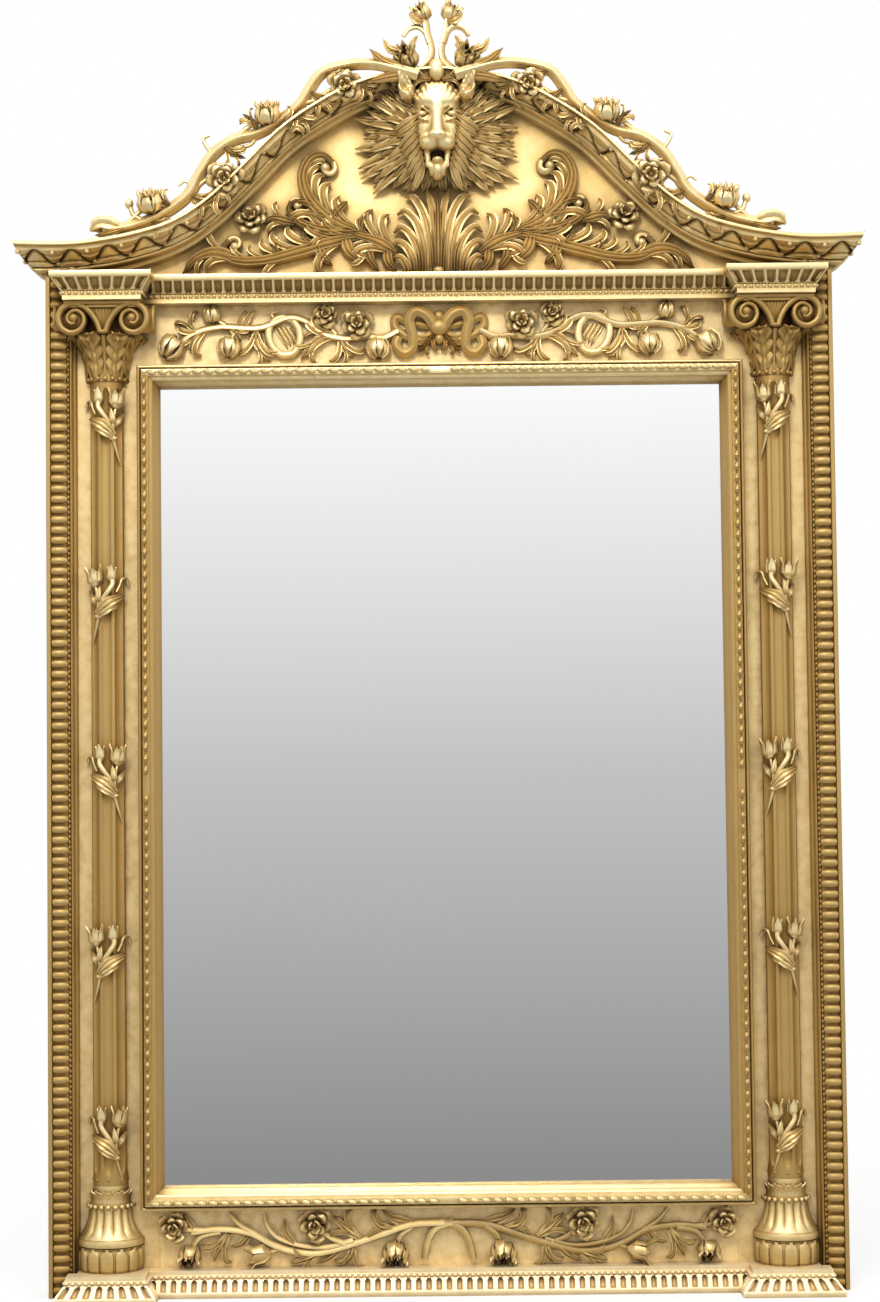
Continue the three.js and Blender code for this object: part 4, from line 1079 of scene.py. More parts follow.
BASE_PROFILE = [(45.5, 35.3), (46.2, 37.5)]
BASE_PROFILE += [(BASE_R + 0.6 * math.sin(math.pi * t), 38 + 30 * t) for t in np.linspace(0, 1, 15)]
BASE_PROFILE += [(44.6, 68.8), (46.6, 70), (47.2, 74), (46.4, 77.6), (44.4, 79)]
BASE_PROFILE += [(30.5 + 14.0 * (1 - t) ** 2.1, 80 + 39 * t) for t in np.linspace(0, 1, 15)]
BASE_PROFILE += [(29.5, 120), (29.5, 126), (27, 127), (26.2, 138), (SHAFT_R + 0.3, 146), (SHAFT_R, 151)]
SHAFT_Z = [151.3, 160, *np.linspace(166, 182, 12), *np.linspace(220, 1210, 16)]
SHAFT_Z += [*np.linspace(1246, 1262, 12), 1266, 1271.7]


def base_relief(turn, z):
    return np.where(z < 68.5, drum_relief(turn, z), bell_relief(turn, z))


for side, s in SIDES:
    post = Carving()
    post.add(turned(s, [(SHAFT_R, z) for z in SHAFT_Z], shaft_relief, 113))
    for turn in np.arange(-2, 3) * FLUTE_TURN:
        x, depth = s * COLUMN_X + 23.6 * math.sin(turn), 23.6 * math.cos(turn)
        post.add(ball(x, depth, 159, 2.4, across=10, up=7))
    post.piece(f"shaft_{side}", f"column_shaft_{side}", finish="toned_shaded_moulding")
    base = Carving()
    base.add(turned(s, BASE_PROFILE, base_relief, 141))
    for k in range(-3, 4):
        for turn, reach, top in ((LOBE * (k + 0.5), 28.2, 17.5), (LOBE * k, 29.4, 15.5)):
            foot_of_leaf, upright = spot(s * COLUMN_X, 0, 127), np.array([0, 0, 1.0])
            reaches, heights = (27.6, 27.4, reach, reach + 2.2), (0, 6, 12.5, top)
            widths = (0.2, 0.235, 0.2, 0.05)
            base.add(petal(foot_of_leaf, upright, OUT, turn, reaches, heights, widths, thick=1.6))
    foot = base.object(f"foot_{side}")
    bead = ornament(ball(0, 0, 0, 3.5, 3.2, 3.3, 12, 8))
    ring = {"centre": (s * COLUMN_X, GROUND, 123), "radius": 31.4}
    turns = {"first_turn": -math.pi / 2, "step_turn": math.pi / 10}
    repeat(foot, RING, bead, 11, "gilt_carving", **ring, **turns)
    settle(keep_result(foot), [f"column_base_{side}"])
clear_ornaments()
print("bases and shafts done")

# %% [markdown]
# ## Capitals
# The capital has a bell wrapped in acanthus, two stems that rise between the leaves and roll into
# volutes at the corners, another pair of volutes seen edge on at the sides, and a thin abacus.

# %% Acanthus bell, volutes and abacus
def slab(x, half, depth, low, high):
    """A block on the ground with slightly eased upper and lower edges, as wide as half to each side."""
    soft = 0.8

    def ring(inset, z):
        out, front = half - inset, depth - inset
        return [spot(x + way * out, d, z) for way, d in ((-1, 0.3), (-1, front), (1, front), (1, 0.3))]

    return skin([ring(soft, low), ring(0, low + soft), ring(0, high - soft), ring(soft, high)])


BELL_PROFILE = [(26.5, 1271.7), (26.5, 1279), (27, 1290), (29, 1304), (33, 1318)]
BELL_PROFILE += [(38, 1328), (38, 1333), (30, 1335), (29, 1371)]
BELL_LEAF = ((26.5, 1277), (27, 1290), (30, 1306), (36, 1321), (44, 1331), (50, 1333), (52, 1328))
BELL_LEAF_WIDE = ((0, 0.62), (0.25, 0.8), (0.6, 1.0), (0.85, 0.8), (1.0, 0.3))
BELL_RIB = ((26.5, 1278), (29, 1300), (36, 1320), (44, 1334))
VOLUTE = [
    (3.5, 1337), (8, 1350), (16, 1363), (28, 1373), (43, 1376.5), (56, 1370), (61.5, 1357), (57, 1343),
    (45, 1336), (32, 1340), (26, 1351), (28.5, 1362), (38, 1367), (47, 1362), (49, 1354),
    (44, 1348.5), (38, 1350),
]
EYE_X, EYE_Z = 40.5, 1356.5
SIDE_VOLUTE_DEPTH = 25.0
SIDE_DISC = ((52, 17), (60, 18.6), (63.5, 17.5), (67, 18.6), (70, 16))


def bell(at):
    """Four acanthus leaves round the bell, and three ribs between them."""
    shells = []
    for turn in np.radians((-78, -27, 27, 78)):
        radial = np.array([math.sin(turn), -math.cos(turn), 0])
        leaf = [at(r * math.sin(turn), r * math.cos(turn), z) for r, z in BELL_LEAF]
        shape = {"rise": 4.6, "fingers": 4, "sweep": 0.75, "thick": 2.0, "groove": 0.42}
        shells.append(acanthus(leaf, 33, wide=BELL_LEAF_WIDE, out=radial, **shape))
    for turn in np.radians((-54, 0, 54)):
        radial = np.array([math.sin(turn), -math.cos(turn), 0])
        rib = [at(r * math.sin(turn), r * math.cos(turn), z) for r, z in BELL_RIB]
        shells.append(tube(line(rib, 16), np.linspace(1.6, 3.4, 16), 8, out=radial))
    return shells


def volute(at, s, way):
    """The scroll at one corner, seen from the front, and the one behind it, seen edge on."""
    roll = line([at(way * x, 46 + 5 * i / len(VOLUTE), z) for i, (x, z) in enumerate(VOLUTE)], 96)
    swell = shape_by(np.linspace(0, 1, 96), (0, 4.4), (0.3, 5.0), (1, 2.8))
    shells = [tube(roll, swell, 12, flat=1.7)]
    shells.append(ball(*at(way * EYE_X, 50, EYE_Z), 6.4, 8.5, 6.4))
    shells.append(ball(*at(way * (EYE_X + 1), 36, EYE_Z), 19, 12, 19, 24, 12))
    middle = GROUND - SIDE_VOLUTE_DEPTH
    turns, r = np.linspace(0.45 * math.pi, 3.6 * math.pi, 60), np.linspace(19.6, 5.5, 60)
    for x in (58.5, 68.5):
        across = np.full(60, s * COLUMN_X + way * x)
        rim = np.stack([across, middle + r * np.cos(turns), EYE_Z + r * np.sin(turns)], 1)
        shells.append(tube(rim, np.linspace(2.8, 1.8, 60), 8, out=np.array([way, 0, 0.0])))
    turns = np.linspace(0, 2 * math.pi, 28, endpoint=False)
    disc = [
        [(s * COLUMN_X + way * x, middle - r * math.cos(a), EYE_Z + r * math.sin(a)) for a in turns]
        for x, r in SIDE_DISC
    ]
    return [*shells, skin(disc)]


def capital(s):
    at = lambda x, depth, z: (s * COLUMN_X + x, depth, z)
    shells = [turned(s, BELL_PROFILE, around=49), *bell(at), ball(*at(0, 47, 1337.5), 9.0, 6, 3.0)]
    for way in (-1, 1):
        shells.extend(volute(at, s, way))
    for k in range(-3, 4):
        fan = [at(k * 0.8, 40, 1339), at(k * 2.6, 43, 1354), at(k * 5.2, 45, 1370)]
        shells.append(tube(line(fan, 14), np.linspace(1.3, 2.9, 14), 8))
    shells.append(slab(s * COLUMN_X, 51, 52, 1371, 1375.4))
    shells.append(slab(s * COLUMN_X, 53.5, 56, 1375.2, 1379.7))
    return shells


for side, s in SIDES:
    head = Carving()
    head.add(*capital(s))
    top = head.object(f"capital_{side}")
    bead = ornament(ball(0, 0, 0, 3.6, 3.3, 3.4, 12, 8))
    ring = {"centre": (s * COLUMN_X, GROUND, 1275), "radius": 27.6}
    repeat(top, RING, bead, 9, first_turn=-math.pi / 2, step_turn=math.pi / 8, **ring)
    settle(keep_result(top), [f"column_capital_{side}"])
clear_ornaments()
print("capitals done")

# %% [markdown]
# ## Flowers on the columns
# Five cut sprigs lie on each shaft, every second one turned over. A sprig has an open tulip, a
# nodding bud on an S-shaped stalk, a hooked leaf, three narrow leaves, one broad double leaf and a
# knot from which its stem trails down.

# %% Ten sprigs
SPRIG_PITCH, SPRIG_FIRST = 250.1, 221.3


def sprig(s, level, lean):
    def at(x, up, proud=3.0):
        depth = math.sqrt(max(SHAFT_R**2 - x * x, 30)) + proud
        return (s * COLUMN_X + lean * x, depth, level + up)
    shells = [*tulip(at(-14, 11, 3), at(-17, 40, 6), 14, turn=0.4, petals=6, flare=0.75, open_=0.3)]
    shells.append(ball(*at(-15, 15, 5), 6.5, 6, 5.5))
    shells.append(stem([at(-11, -31, 3), at(-10.5, -14, 5), at(-12.5, 2, 6), at(-15, 13, 5)], 2.8, 2.0, 18))
    shells.append(
        stem([at(-10, -22, 4), at(-5, -9, 6), at(3, 3, 8), at(9.5, 14, 8), at(8, 27, 6)], 3.0, 3.6, 26)
    )
    shells.extend(tulip(at(8, 17, 4), at(9, 41, 5), 9.5, turn=0.9, petals=5, flare=0.6, open_=0.3))
    shells.append(
        stem([at(14, 3, 4), at(18, 12, 4), at(21, 21, 5), at(26, 22, 3), at(29, 14, 1)], 1.4, 2.6, 26)
    )
    shells.append(blade([at(-13, -16, 3), at(-17, -8, 7), at(-25, 7, 5)], 9, rise=3.4))
    shells.append(blade([at(-11, -14, 4), at(-10, -2, 9), at(-8, 12, 7)], 9, rise=3.4))
    shells.append(lock([at(-11, -27, 4), at(-1, -16, 8), at(10, -9, 8), at(24, -2, 3)], 19, 4.5))
    shells.append(
        lock([at(-10, -29, 5), at(-3, -24, 8), at(6, -19, 8), at(17, -16, 4)], 13, 4.0, strands=2)
    )
    shells.append(ball(*at(-10.5, -31, 4), 6, 4, 3.4, 12, 8))
    shells.append(stem([at(-10.5, -31, 2.5), at(-15, -50, 0.8), at(-20, -68, 0.2)], 2.5, 0.9, 20))
    return shells


for side, s in SIDES:
    for i in range(5):
        cut = Carving()
        cut.add(*sprig(s, SPRIG_FIRST + i * SPRIG_PITCH, s * (-1 if i % 2 else 1)))
        cut.piece(f"sprig_{side}_{i + 1}", f"column_flower_{side}_{i + 1}")

# %% [markdown]
# ## Raking cornices
# The two halves of the arched cornice follow one S-shaped edge. From the inside outwards they have
# a plain fascia, an astragal with slanting ties, a wide cove carved with laurel leaves and berries,
# and a thin fillet. The cove is embossed: its grid is pushed along its own normals.

# %% The arch and its profile
ARCH = [
    (0, 255), (52, 249), (103, 236), (155, 209), (205, 174), (254, 125), (300, 80), (350, 43),
    (406, 20), (465, 6), (530, 0), (640, 0),
]
OUTWARDS = [
    (0, 0.75), (0.18, 0.73), (0.32, 0.68), (0.4, 0.64), (0.45, 0.6), (0.53, 0.53), (0.52, 0.6),
    (0.43, 0.78), (0.28, 0.95), (0.17, 1.04), (0, 1.08), (0, 1.18),
]
ARCH_BAND, CORNICE_PROUD, TIP_X, TIP_H = 40.0, 69.5, 593.4, 47.0
COVE = (0.37, 0.87)
cornice_profile = [(0, 0.0), (0, 0.28), (0.01, 0.3), (0.14, 0.32), (0.15, 0.37)]
cornice_profile += [
    (0.25 - 0.09 * math.cos(t), 0.38 + 0.13 * math.sin(t))
    for t in np.linspace(0, math.pi, 12)
]
cornice_profile += [(0.35, 0.375), (0.365, 0.39)]
for t in np.linspace(0, 1, 34):
    cornice_profile.append((COVE[0] + (COVE[1] - COVE[0]) * t, 0.43 + 0.24 * t + 0.23 * t**2.2))
cornice_profile += [(0.875, 0.94), (0.88, 0.985), (0.90, 1), (0.98, 1), (1, 0.98), (1, 0)]
LAUREL_PITCH, BERRY_LOW, BERRY_HIGH = 51.0, 0.14, 0.84
tip_t = np.linspace(0, 1, 20)
TIP_HEIGHTS = 2 * tip_t * (1 - tip_t) * TIP_H * 0.45 + tip_t**2 * TIP_H
TIP_REACH = (1 - tip_t) ** 2 * BODY_HALF + 2 * tip_t * (1 - tip_t) * (TIP_X - 6) + tip_t**2 * TIP_X


def inside_tip(xyz):
    """Holds points inside the curved end of the cornice."""
    xyz[..., 0] = np.minimum(xyz[..., 0], np.interp(xyz[..., 2] - TOP, TIP_HEIGHTS, TIP_REACH))
    return xyz


def arch_lines(count):
    """Evenly spaced points on the inner and the outer edge of the right half."""
    inner = line([(x, 0, z) for x, z in ARCH], 400)
    rim = [(x + o * ARCH_BAND, 0, z + u * ARCH_BAND) for (x, z), (o, u) in zip(ARCH, OUTWARDS)]
    outer = line(rim, 400)
    middle = (inner + outer) / 2
    length = np.concatenate([[0], np.cumsum(np.linalg.norm(np.diff(middle, axis=0), axis=1))])
    at = np.linspace(0, length[-1], count)
    pick = lambda p: np.stack([np.interp(at, length, p[:, i]) for i in range(3)], 1)
    return at, pick(inner), pick(outer)


def cornice_grid(profile):
    """The cornice's surface before it is carved, and where each of its columns lies along it."""
    at, inner, outer = arch_lines(360)
    share, proud = (np.array(values, float)[None, :, None] for values in zip(*profile))
    grid = inner[:, None] * (1 - share) + outer[:, None] * share + OUT * proud * CORNICE_PROUD
    grid[..., 2] = np.maximum(grid[..., 2] + TOP, TOP + 0.3)
    return at, grid


def emboss(grid, height):
    """Pushes a grid along its normals, outwards where height is positive."""
    normal = np.cross(np.gradient(grid, axis=0), np.gradient(grid, axis=1))
    normal /= np.linalg.norm(normal, axis=2)[..., None] + 1e-9
    normal *= np.sign((normal * OUT).sum(2).mean())
    return grid + normal * height[..., None]


def groove(distance, width):
    return np.exp(-((distance / width) ** 2))


def laurel(at, up):
    """Heights of the leaves at a place along the cove, and up it from 0 to 1."""
    phase = at[:, None] / LAUREL_PITCH
    wave = 1 - np.abs(phase % 1 * 2 - 1)
    zig = BERRY_LOW + (BERRY_HIGH - BERRY_LOW) * (0.5 - 0.5 * np.cos(math.pi * wave)) ** 0.9
    off = up - zig
    height = 2.4 - 6.0 * groove(off, 0.055) + 3.0 * np.clip(np.abs(off) * 3.0, 0, 1)
    upper = np.abs((phase + 0.5) % 1 - 0.5)
    lower = np.abs(phase % 1 - 0.5)
    vein_up = groove(up - 0.62 - 0.2 * upper, 0.05) * (upper < 0.36)
    vein_down = groove(up - 0.36 + 0.2 * lower, 0.05) * (lower < 0.36)
    height -= 3.4 * np.where(off > 0, vein_up, vein_down)
    return height * np.clip(up / 0.06, 0, 1) * np.clip((1 - up) / 0.05, 0, 1)


TIES = (590.0, 375.0, 208.0, 112.0)  # places along each half
arch_at, plain = cornice_grid(cornice_profile)
shares = np.array([share for share, _ in cornice_profile])[None, :]
cove_up = (shares - COVE[0]) / (COVE[1] - COVE[0])
relief = np.where((cove_up >= 0) & (cove_up <= 1), laurel(arch_at, np.clip(cove_up, 0, 1)), 0.0)
on_astragal = (shares > 0.155) & (shares < 0.345)
for tie in TIES:
    slant = arch_at[:, None] - tie + (shares - 0.25) * 130
    relief -= on_astragal * 3.2 * groove(slant, 2.6)
relief -= on_astragal * 1.1 * groove(shares - 0.28, 0.016)
carved = inside_tip(emboss(plain, relief))


def edge_line(points):
    """A loose polyline, given in millimetres, for a row of ornament to follow."""
    mesh = bpy.data.meshes.new("loose_line")
    links = [(i, i + 1) for i in range(len(points) - 1)]
    mesh.from_pydata([tuple(p * MM) for p in points], links, [])
    made = bpy.data.objects.new("loose_line", mesh)
    made.hide_render = True
    scene.collection.objects.link(made)
    return made


def row_at(up, first, last):
    """Points on the embossed cove at one height, between two places along it."""
    column = int(np.argmin(np.abs(cove_up[0] - up)))
    return carved[(arch_at >= first) & (arch_at <= last), column]


def mirror_x(points, s):
    return points * np.array([s, 1.0, 1.0])


for side, s in SIDES:
    rake = Carving()
    rake.add(skin(mirror_x(carved, s) + np.array([s * 0.25, 0, 0])))
    made = rake.object(f"raking_{side}")
    berry = ornament(ball(0, 0.6, 0, 3.7, 3.4, 3.7, 12, 8))
    for up, start in ((BERRY_LOW, 0.0), (BERRY_HIGH, 0.5)):
        first, last = (start + 1) * LAUREL_PITCH, (start + 13) * LAUREL_PITCH
        row = row_at(up, first, min(last, arch_at[-1] - 40))
        repeat(made, EDGE, berry, 13, "gilt_carving", edge=edge_line(mirror_x(row, s)), size=(1, 1, 1))
    settle(keep_result(made), [f"raking_cornice_{side}"])
clear_ornaments()
print("cornice length", round(arch_at[-1]), "mm a side")

# %% [markdown]
# ## Lion mask
# A face is too round for rings, so the mask is modelled as clay would be: ellipsoids and tapered
# rolls are blended into one distance field, and the mouth, the nostrils, the sockets and the folds
# are cut out of it. The field is symmetric, so only half is worked out. Places are x, depth, and
# height above the middle of the face.

# %% Clay in a distance field
FACE_Z, CLAY = 1622.0, 1.0
HALF_W, DEEP, LOW, HIGH = 62, 100, -88, 92
clay_x = np.arange(0, HALF_W, CLAY)[:, None, None]
clay_d = np.arange(-3, DEEP, CLAY)[None, :, None]
clay_h = np.arange(LOW, HIGH, CLAY)[None, None, :]
clay_at = np.stack(np.broadcast_arrays(clay_x, clay_d, clay_h), -1).astype(np.float32)


def lump(place, radii):
    """The distance to an ellipsoid."""
    p = (clay_at - np.float32(place)) / np.float32(radii)
    far = np.linalg.norm(p, axis=-1)
    return far * (far - 1) / (np.linalg.norm(p / np.float32(radii), axis=-1) + 1e-6)


def roll(a, b, ra, rb):
    """The distance to a tapered roll from a to b."""
    a, ab = np.float32(a), np.float32(b) - np.float32(a)
    t = np.clip(((clay_at - a) @ ab) / (ab @ ab), 0, 1)
    return np.linalg.norm(clay_at - a - t[..., None] * ab, axis=-1) - (ra + (rb - ra) * t)


def blend(a, b, soft):
    h = np.clip(0.5 + 0.5 * (b - a) / soft, 0, 1)
    return b + (a - b) * h - soft * h * (1 - h)


def cut(a, b, soft):
    return -blend(-a, b, soft)


# Masses of the face, each a lump (place, radii) or a roll (end, end, radius, radius), and its softness.
MASSES = (
    (lump, ((0, 59, 39), (32, 15, 22)), 8), (lump, ((18, 50, -9), (12, 20, 22)), 7),
    (roll, ((6, 72, 31), (27, 62, 37), 5.5, 6), 4), (roll, ((0, 60, 42), (0, 70, 25), 8, 7), 6),
    (roll, ((0, 70, 25), (0, 80, -16), 6.4, 8), 4), (lump, ((0, 83, -20), (12.5, 9, 6.5)), 4),
    (lump, ((11, 67, -29), (14, 15, 10)), 8), (lump, ((0, 53, -62), (12, 16, 14)), 5),
    (roll, ((14, 60, -40), (12, 60, -58), 4.5, 4), 4), (roll, ((25, 50, -22), (17, 50, -54), 6, 5), 6),
    (roll, ((11, 66, 50), (22, 56, 62), 5, 4), 4),
)
# The two ends of each roll of the eyelids, each fold and each tuft of the brow.
LIDS = (
    ((11, 68, 15), (20, 72, 22)), ((20, 72, 22), (30, 61, 17)),
    ((12, 68, 10), (20, 71, 5)), ((20, 71, 5), (31, 61, 12)),
)
FOLDS = (
    ((4, 84, 32), (7, 80, 46)), ((13, 80, -10), (24, 68, -24)), ((17, 76, -3), (29, 64, -18)),
    ((12, 76, 45), (27, 66, 45)), ((10, 76, 50), (26, 66, 51)), ((14, 72, 0), (27, 66, 1)),
    ((19, 84, -26), (26, 68, -34)), ((25, 72, -6), (30, 66, -30)),
)
TUFTS = (((15, 50, 60), (24, 52, 80)), ((9, 52, 62), (14, 58, 76)), ((31, 48, 52), (36, 46, 76)))


def eye(face):
    face = cut(face, lump((19.5, 80, 14), (12, 18, 9.6)), 3)
    face = blend(face, lump((20, 61, 14), (8.4, 9.2, 6.8)), 0.6)
    for a, b in LIDS:
        face = blend(face, roll(a, b, 1.6, 1.6), 1)
    return face


def mouth(face):
    """Nostril, split lip, open mouth and tongue."""
    face = cut(face, lump((5.4, 94, -23.5), (3.2, 6, 2.6)), 1)
    face = cut(face, roll((0, 100, -26), (0, 92, -38), 1.6, 1.6), 1)
    face = cut(face, lump((0, 84, -44.5), (14.5, 24, 6.4)), 2)
    face = cut(face, lump((0, 90, -39), (5.5, 14, 6)), 1.6)
    return blend(face, lump((0, 66, -52), (7.5, 12, 5)), 1)


def ear():
    shell = roll((42, 68, 45), (49, 76, 70), 11.5, 6.0)
    shell = cut(shell, roll((44, 80, 50), (49, 84, 67), 7.8, 4.0), 1)
    return blend(shell, roll((34, 40, 34), (41, 64, 42), 9, 9), 4)


def fur():
    """Fine ridges at the edge of the face and down the lower cheeks."""
    turn = np.arctan2(clay_h + 4, clay_x + 0.01)
    strands = np.sin(turn * 46) * 0.8 + np.sin(clay_x * 0.9 + clay_h * 0.5) * 0.25
    rim = np.clip((np.hypot(clay_x * 0.9, clay_h * 0.66 + 4) - 30) / 12, 0, 1)
    cheek = np.clip((clay_x - 16) / 6, 0, 1) * np.clip((-18 - clay_h) / 12, 0, 1)
    return strands * (rim + cheek)


def mask_field():
    face = lump((0, 40, 10), (36, 36, 52))
    for form, sizes, soft in MASSES:
        face = blend(face, form(*sizes), soft)
    face = mouth(eye(face))
    for a, b in FOLDS:
        face = cut(face, roll(a, b, 1.9, 1.2), 1.6)
    face = blend(face, ear(), 3)
    face = blend(face, lump((0, 56, 75), (13.2, 13.5, 13.5)), 1)
    for a, b in TUFTS:
        face = blend(face, roll(a, b, 5, 1.5), 2)
    return np.maximum(face + fur(), -clay_d)


half = mask_field()
full = np.concatenate([half[:0:-1], half])
grid = openvdb.FloatGrid()
grid.background = 5.0
grid.copyFromArray(np.ascontiguousarray(np.clip(full, -5, 5), dtype=np.float32))
clay_points, clay_quads = grid.convertToQuads(isovalue=0.0)
x, depth, up = (np.asarray(clay_points, float) * CLAY).T
x = x - (full.shape[0] - 1) * CLAY / 2
surface = np.column_stack([x, GROUND - (depth - 3), FACE_Z + LOW + up])
mask = Carving()
mask.add((surface, np.asarray(clay_quads)[:, ::-1], np.zeros((0, 3), int)))
mask.piece("mask", "lion_head", smooth=75)

# %% [markdown]
# The mane is four layers of pointed locks that radiate from the face. Each lock is a blade with
# long grooves. Its outer end lies on a squarish outline, and a fixed wave makes neighbours longer
# and shorter, so the edge comes out jagged. The top locks climb over the cornice, and a last row
# on each side falls from the eye to the jaw.

# %% Locks of the mane
MANE_W, MANE_UP, MANE_DOWN, SQUARE = 118.0, 80.0, 84.0, 7.0
HUB_Z, PANEL_LOW = FACE_Z - 4, TOP + 118
# Number of locks, share of the outline, inner radius, depths of root and tip, width.
MANE_LAYERS = (
    (52, 1.0, 30, 14, 9, 16), (46, 0.84, 28, 26, 18, 14),
    (40, 0.64, 26, 36, 27, 12.5), (34, 0.46, 24, 44, 36, 11),
)
MANE_LOCK = ((0, 0.5), (0.5, 1.0), (0.8, 0.70), (1.0, 0.04))
CHEEK_LOCK = ((0, 0.35), (0.45, 1.0), (0.8, 0.7), (1.0, 0.04))
CHEEK_LOCKS = 9


def mane_path(k, layer, count, far, near, deep, tip_deep):
    """Root, middle and tip of lock k of one layer."""
    a = 2 * math.pi * (k + 0.5 * (layer % 2)) / count
    ca, sa = math.cos(a), math.sin(a)
    tall = MANE_UP if sa > 0 else MANE_DOWN
    square = (abs(ca / MANE_W) ** SQUARE + abs(sa / tall) ** SQUARE) ** (-1 / SQUARE)
    reach = square * far * (0.92 + 0.08 * math.sin(k * 2.4 + layer))
    curl = 6.0 * math.sin(k * 1.7 + layer * 2) - 10 * ca
    over = 52.0 * max(0.0, sa - 0.2) ** 0.8 * far
    halfway = (near + reach) / 2
    root = (near * ca, deep, HUB_Z + near * sa)
    middle_z = HUB_Z + halfway * sa + ca * curl * 0.3
    middle = (halfway * ca - sa * curl * 0.4, deep + 5 + over * 0.5, middle_z)
    tip = (reach * ca, tip_deep + over, max(HUB_Z + reach * sa - 3 * abs(ca), PANEL_LOW))
    return [root, middle, tip]


def cheek_path(k, s):
    """Lock k of a cheek, counted from the eye down to the jaw."""
    down = k / (CHEEK_LOCKS - 1)
    root = (s * (25 - 8 * down**2), 66 - 8 * down, FACE_Z + 12 - 66 * down)
    middle = (s * (40 - 16 * down), 61 - 10 * down, FACE_Z + 4 - 72 * down)
    tip = (s * (60 - 26 * down), 44 - 6 * down, FACE_Z - 6 - 80 * down + 3 * math.sin(k * 2.1))
    return [root, middle, tip]


mane = Carving()
for layer, (count, far, near, deep, tip_deep, width) in enumerate(MANE_LAYERS):
    for k in range(count):
        path = mane_path(k, layer, count, far, near, deep, tip_deep)
        mane.add(lock(path, width, 5.4, strands=2, rows=19, wide=MANE_LOCK))
for s in (-1, 1):
    for k in range(CHEEK_LOCKS):
        mane.add(lock(cheek_path(k, s), 11.5, 5.0, strands=2, rows=19, wide=CHEEK_LOCK))
mane.piece("mane", "lion_mane", smooth=60)

# %% [markdown]
# ## Plume and acanthus scrolls
# Below the mask a plume of long leaves stands on the entablature, and a scroll of acanthus runs
# out from it on both sides, with curled fronds, a rose, and a last leaf by the cornice.

# %% Plume
PLUME_LEAF = ((0, 0.6), (0.45, 1.0), (0.85, 0.8), (1.0, 0.25))
PLUME_DEPTHS = (9, 21, 23, 18, 14)
PLUME_LEAVES = (
    ([(3, 0), (5, 50), (8, 92), (15, 121)], 12),
    ([(10, 0), (12, 46), (20, 84), (34, 110), (46, 113)], 14),
    ([(18, 0), (20, 40), (30, 72), (46, 91), (57, 88)], 14),
    ([(26, 0), (28, 32), (39, 56), (52, 68), (62, 62)], 13),
    ([(34, 0), (36, 22), (46, 40), (57, 47), (64, 39)], 12),
    ([(42, 0), (44, 12), (53, 24), (63, 25)], 11),
    ([(7, 0), (9, 38), (16, 70), (27, 92)], 8), ([(22, 0), (24, 30), (33, 50), (42, 60)], 8),
)
plume = Carving()
plume.add(lock([(0, 10, TOP + 1), (0, 24, TOP + 60), (0, 17, TOP + 124)], 15, 7.0, strands=3, rows=30))
for s in (-1, 1):
    for points, width in PLUME_LEAVES:
        path = [(s * x, depth - 0.1 * x, TOP + z + 1) for (x, z), depth in zip(points, PLUME_DEPTHS)]
        plume.add(lock(path, width, 6.0, strands=2, rows=30, wide=PLUME_LEAF))
plume.add(ball(0, 10, TOP + 8, 9, 10, 8))
plume.piece("plume_leaves", "plume", smooth=60)

# %% Scrolls
# Each row is a path from root to tip, a width, the fingers on the left and right, and a curl.
SCROLL_FRONDS = (
    ([(60, 34), (86, 50), (124, 62)], 24, 2, 3, 0),
    ([(104, 62), (146, 78), (178, 108), (190, 142), (180, 168), (162, 174), (148, 164)], 25, 1, 5, 11),
    ([(112, 66), (156, 66), (190, 76), (210, 94), (208, 108)], 19, 1, 3, 9),
    ([(100, 60), (150, 50), (200, 36), (250, 24), (290, 26), (304, 42), (296, 54)], 24, 2, 7, 10),
    ([(276, 24), (312, 36), (340, 30), (362, 8)], 19, 2, 1, 0),
    ([(150, 84), (140, 96), (128, 108)], 13, 0, 0, 0),
    ([(108, 62), (104, 84), (92, 96)], 13, 0, 0, 0),
    ([(132, 60), (126, 38), (108, 20)], 17, 1, 0, 0), ([(96, 52), (98, 30), (84, 8)], 15, 0, 1, 0),
    ([(170, 48), (164, 30), (150, 18)], 15, 0, 0, 0),
    ([(204, 78), (232, 84), (246, 78)], 14, 1, 1, 0),
    ([(168, 100), (192, 108), (206, 102)], 12, 0, 0, 0),
    ([(150, 84), (182, 90), (202, 86)], 12, 0, 0, 0),
    ([(72, 40), (70, 20), (58, 6)], 15, 0, 0, 0), ([(222, 32), (230, 46), (226, 56)], 12, 0, 0, 0),
    ([(180, 44), (190, 56), (190, 66)], 12, 0, 0, 0),
)
for side, s in SIDES:
    scroll = Carving()
    for points, width, left, right, curl in SCROLL_FRONDS:
        depths = [6 + 5 * math.sin(math.pi * (j + 0.4) / len(points)) for j in range(len(points))]
        path = [(s * x, depth, TOP + z) for (x, z), depth in zip(points, depths)]
        fingers = (left, right) if s > 0 else (right, left)
        scroll.add(*frond(path, width * 1.2, *fingers, reach=width * 1.25, rise=8.0, curl=curl, foot=0.3))
    scroll.add(*rose(s * 264, 9, TOP + 84, 21, 0.4, (s * 0.1, 0.3)))
    scroll.piece(f"scroll_{side}", f"acanthus_scroll_{side}", smooth=60)

# %% [markdown]
# ## Vines and finial on the cornice
# A rose branch climbs each half of the cornice and stands free of it in two loops. At the top the
# branches meet in a finial of two S-shaped stems with open flowers and leaves.

# %% Vines
VINE = [
    (467, 60), (440, 62), (405, 72), (371, 90), (347, 110), (332, 137), (314, 164), (285, 185),
    (249, 195), (214, 216), (190, 236), (178, 256), (158, 280), (121, 290), (86, 287, 12),
    (54, 278, 18), (26, 270, 18),
]
VINE_DEEP = 56.0
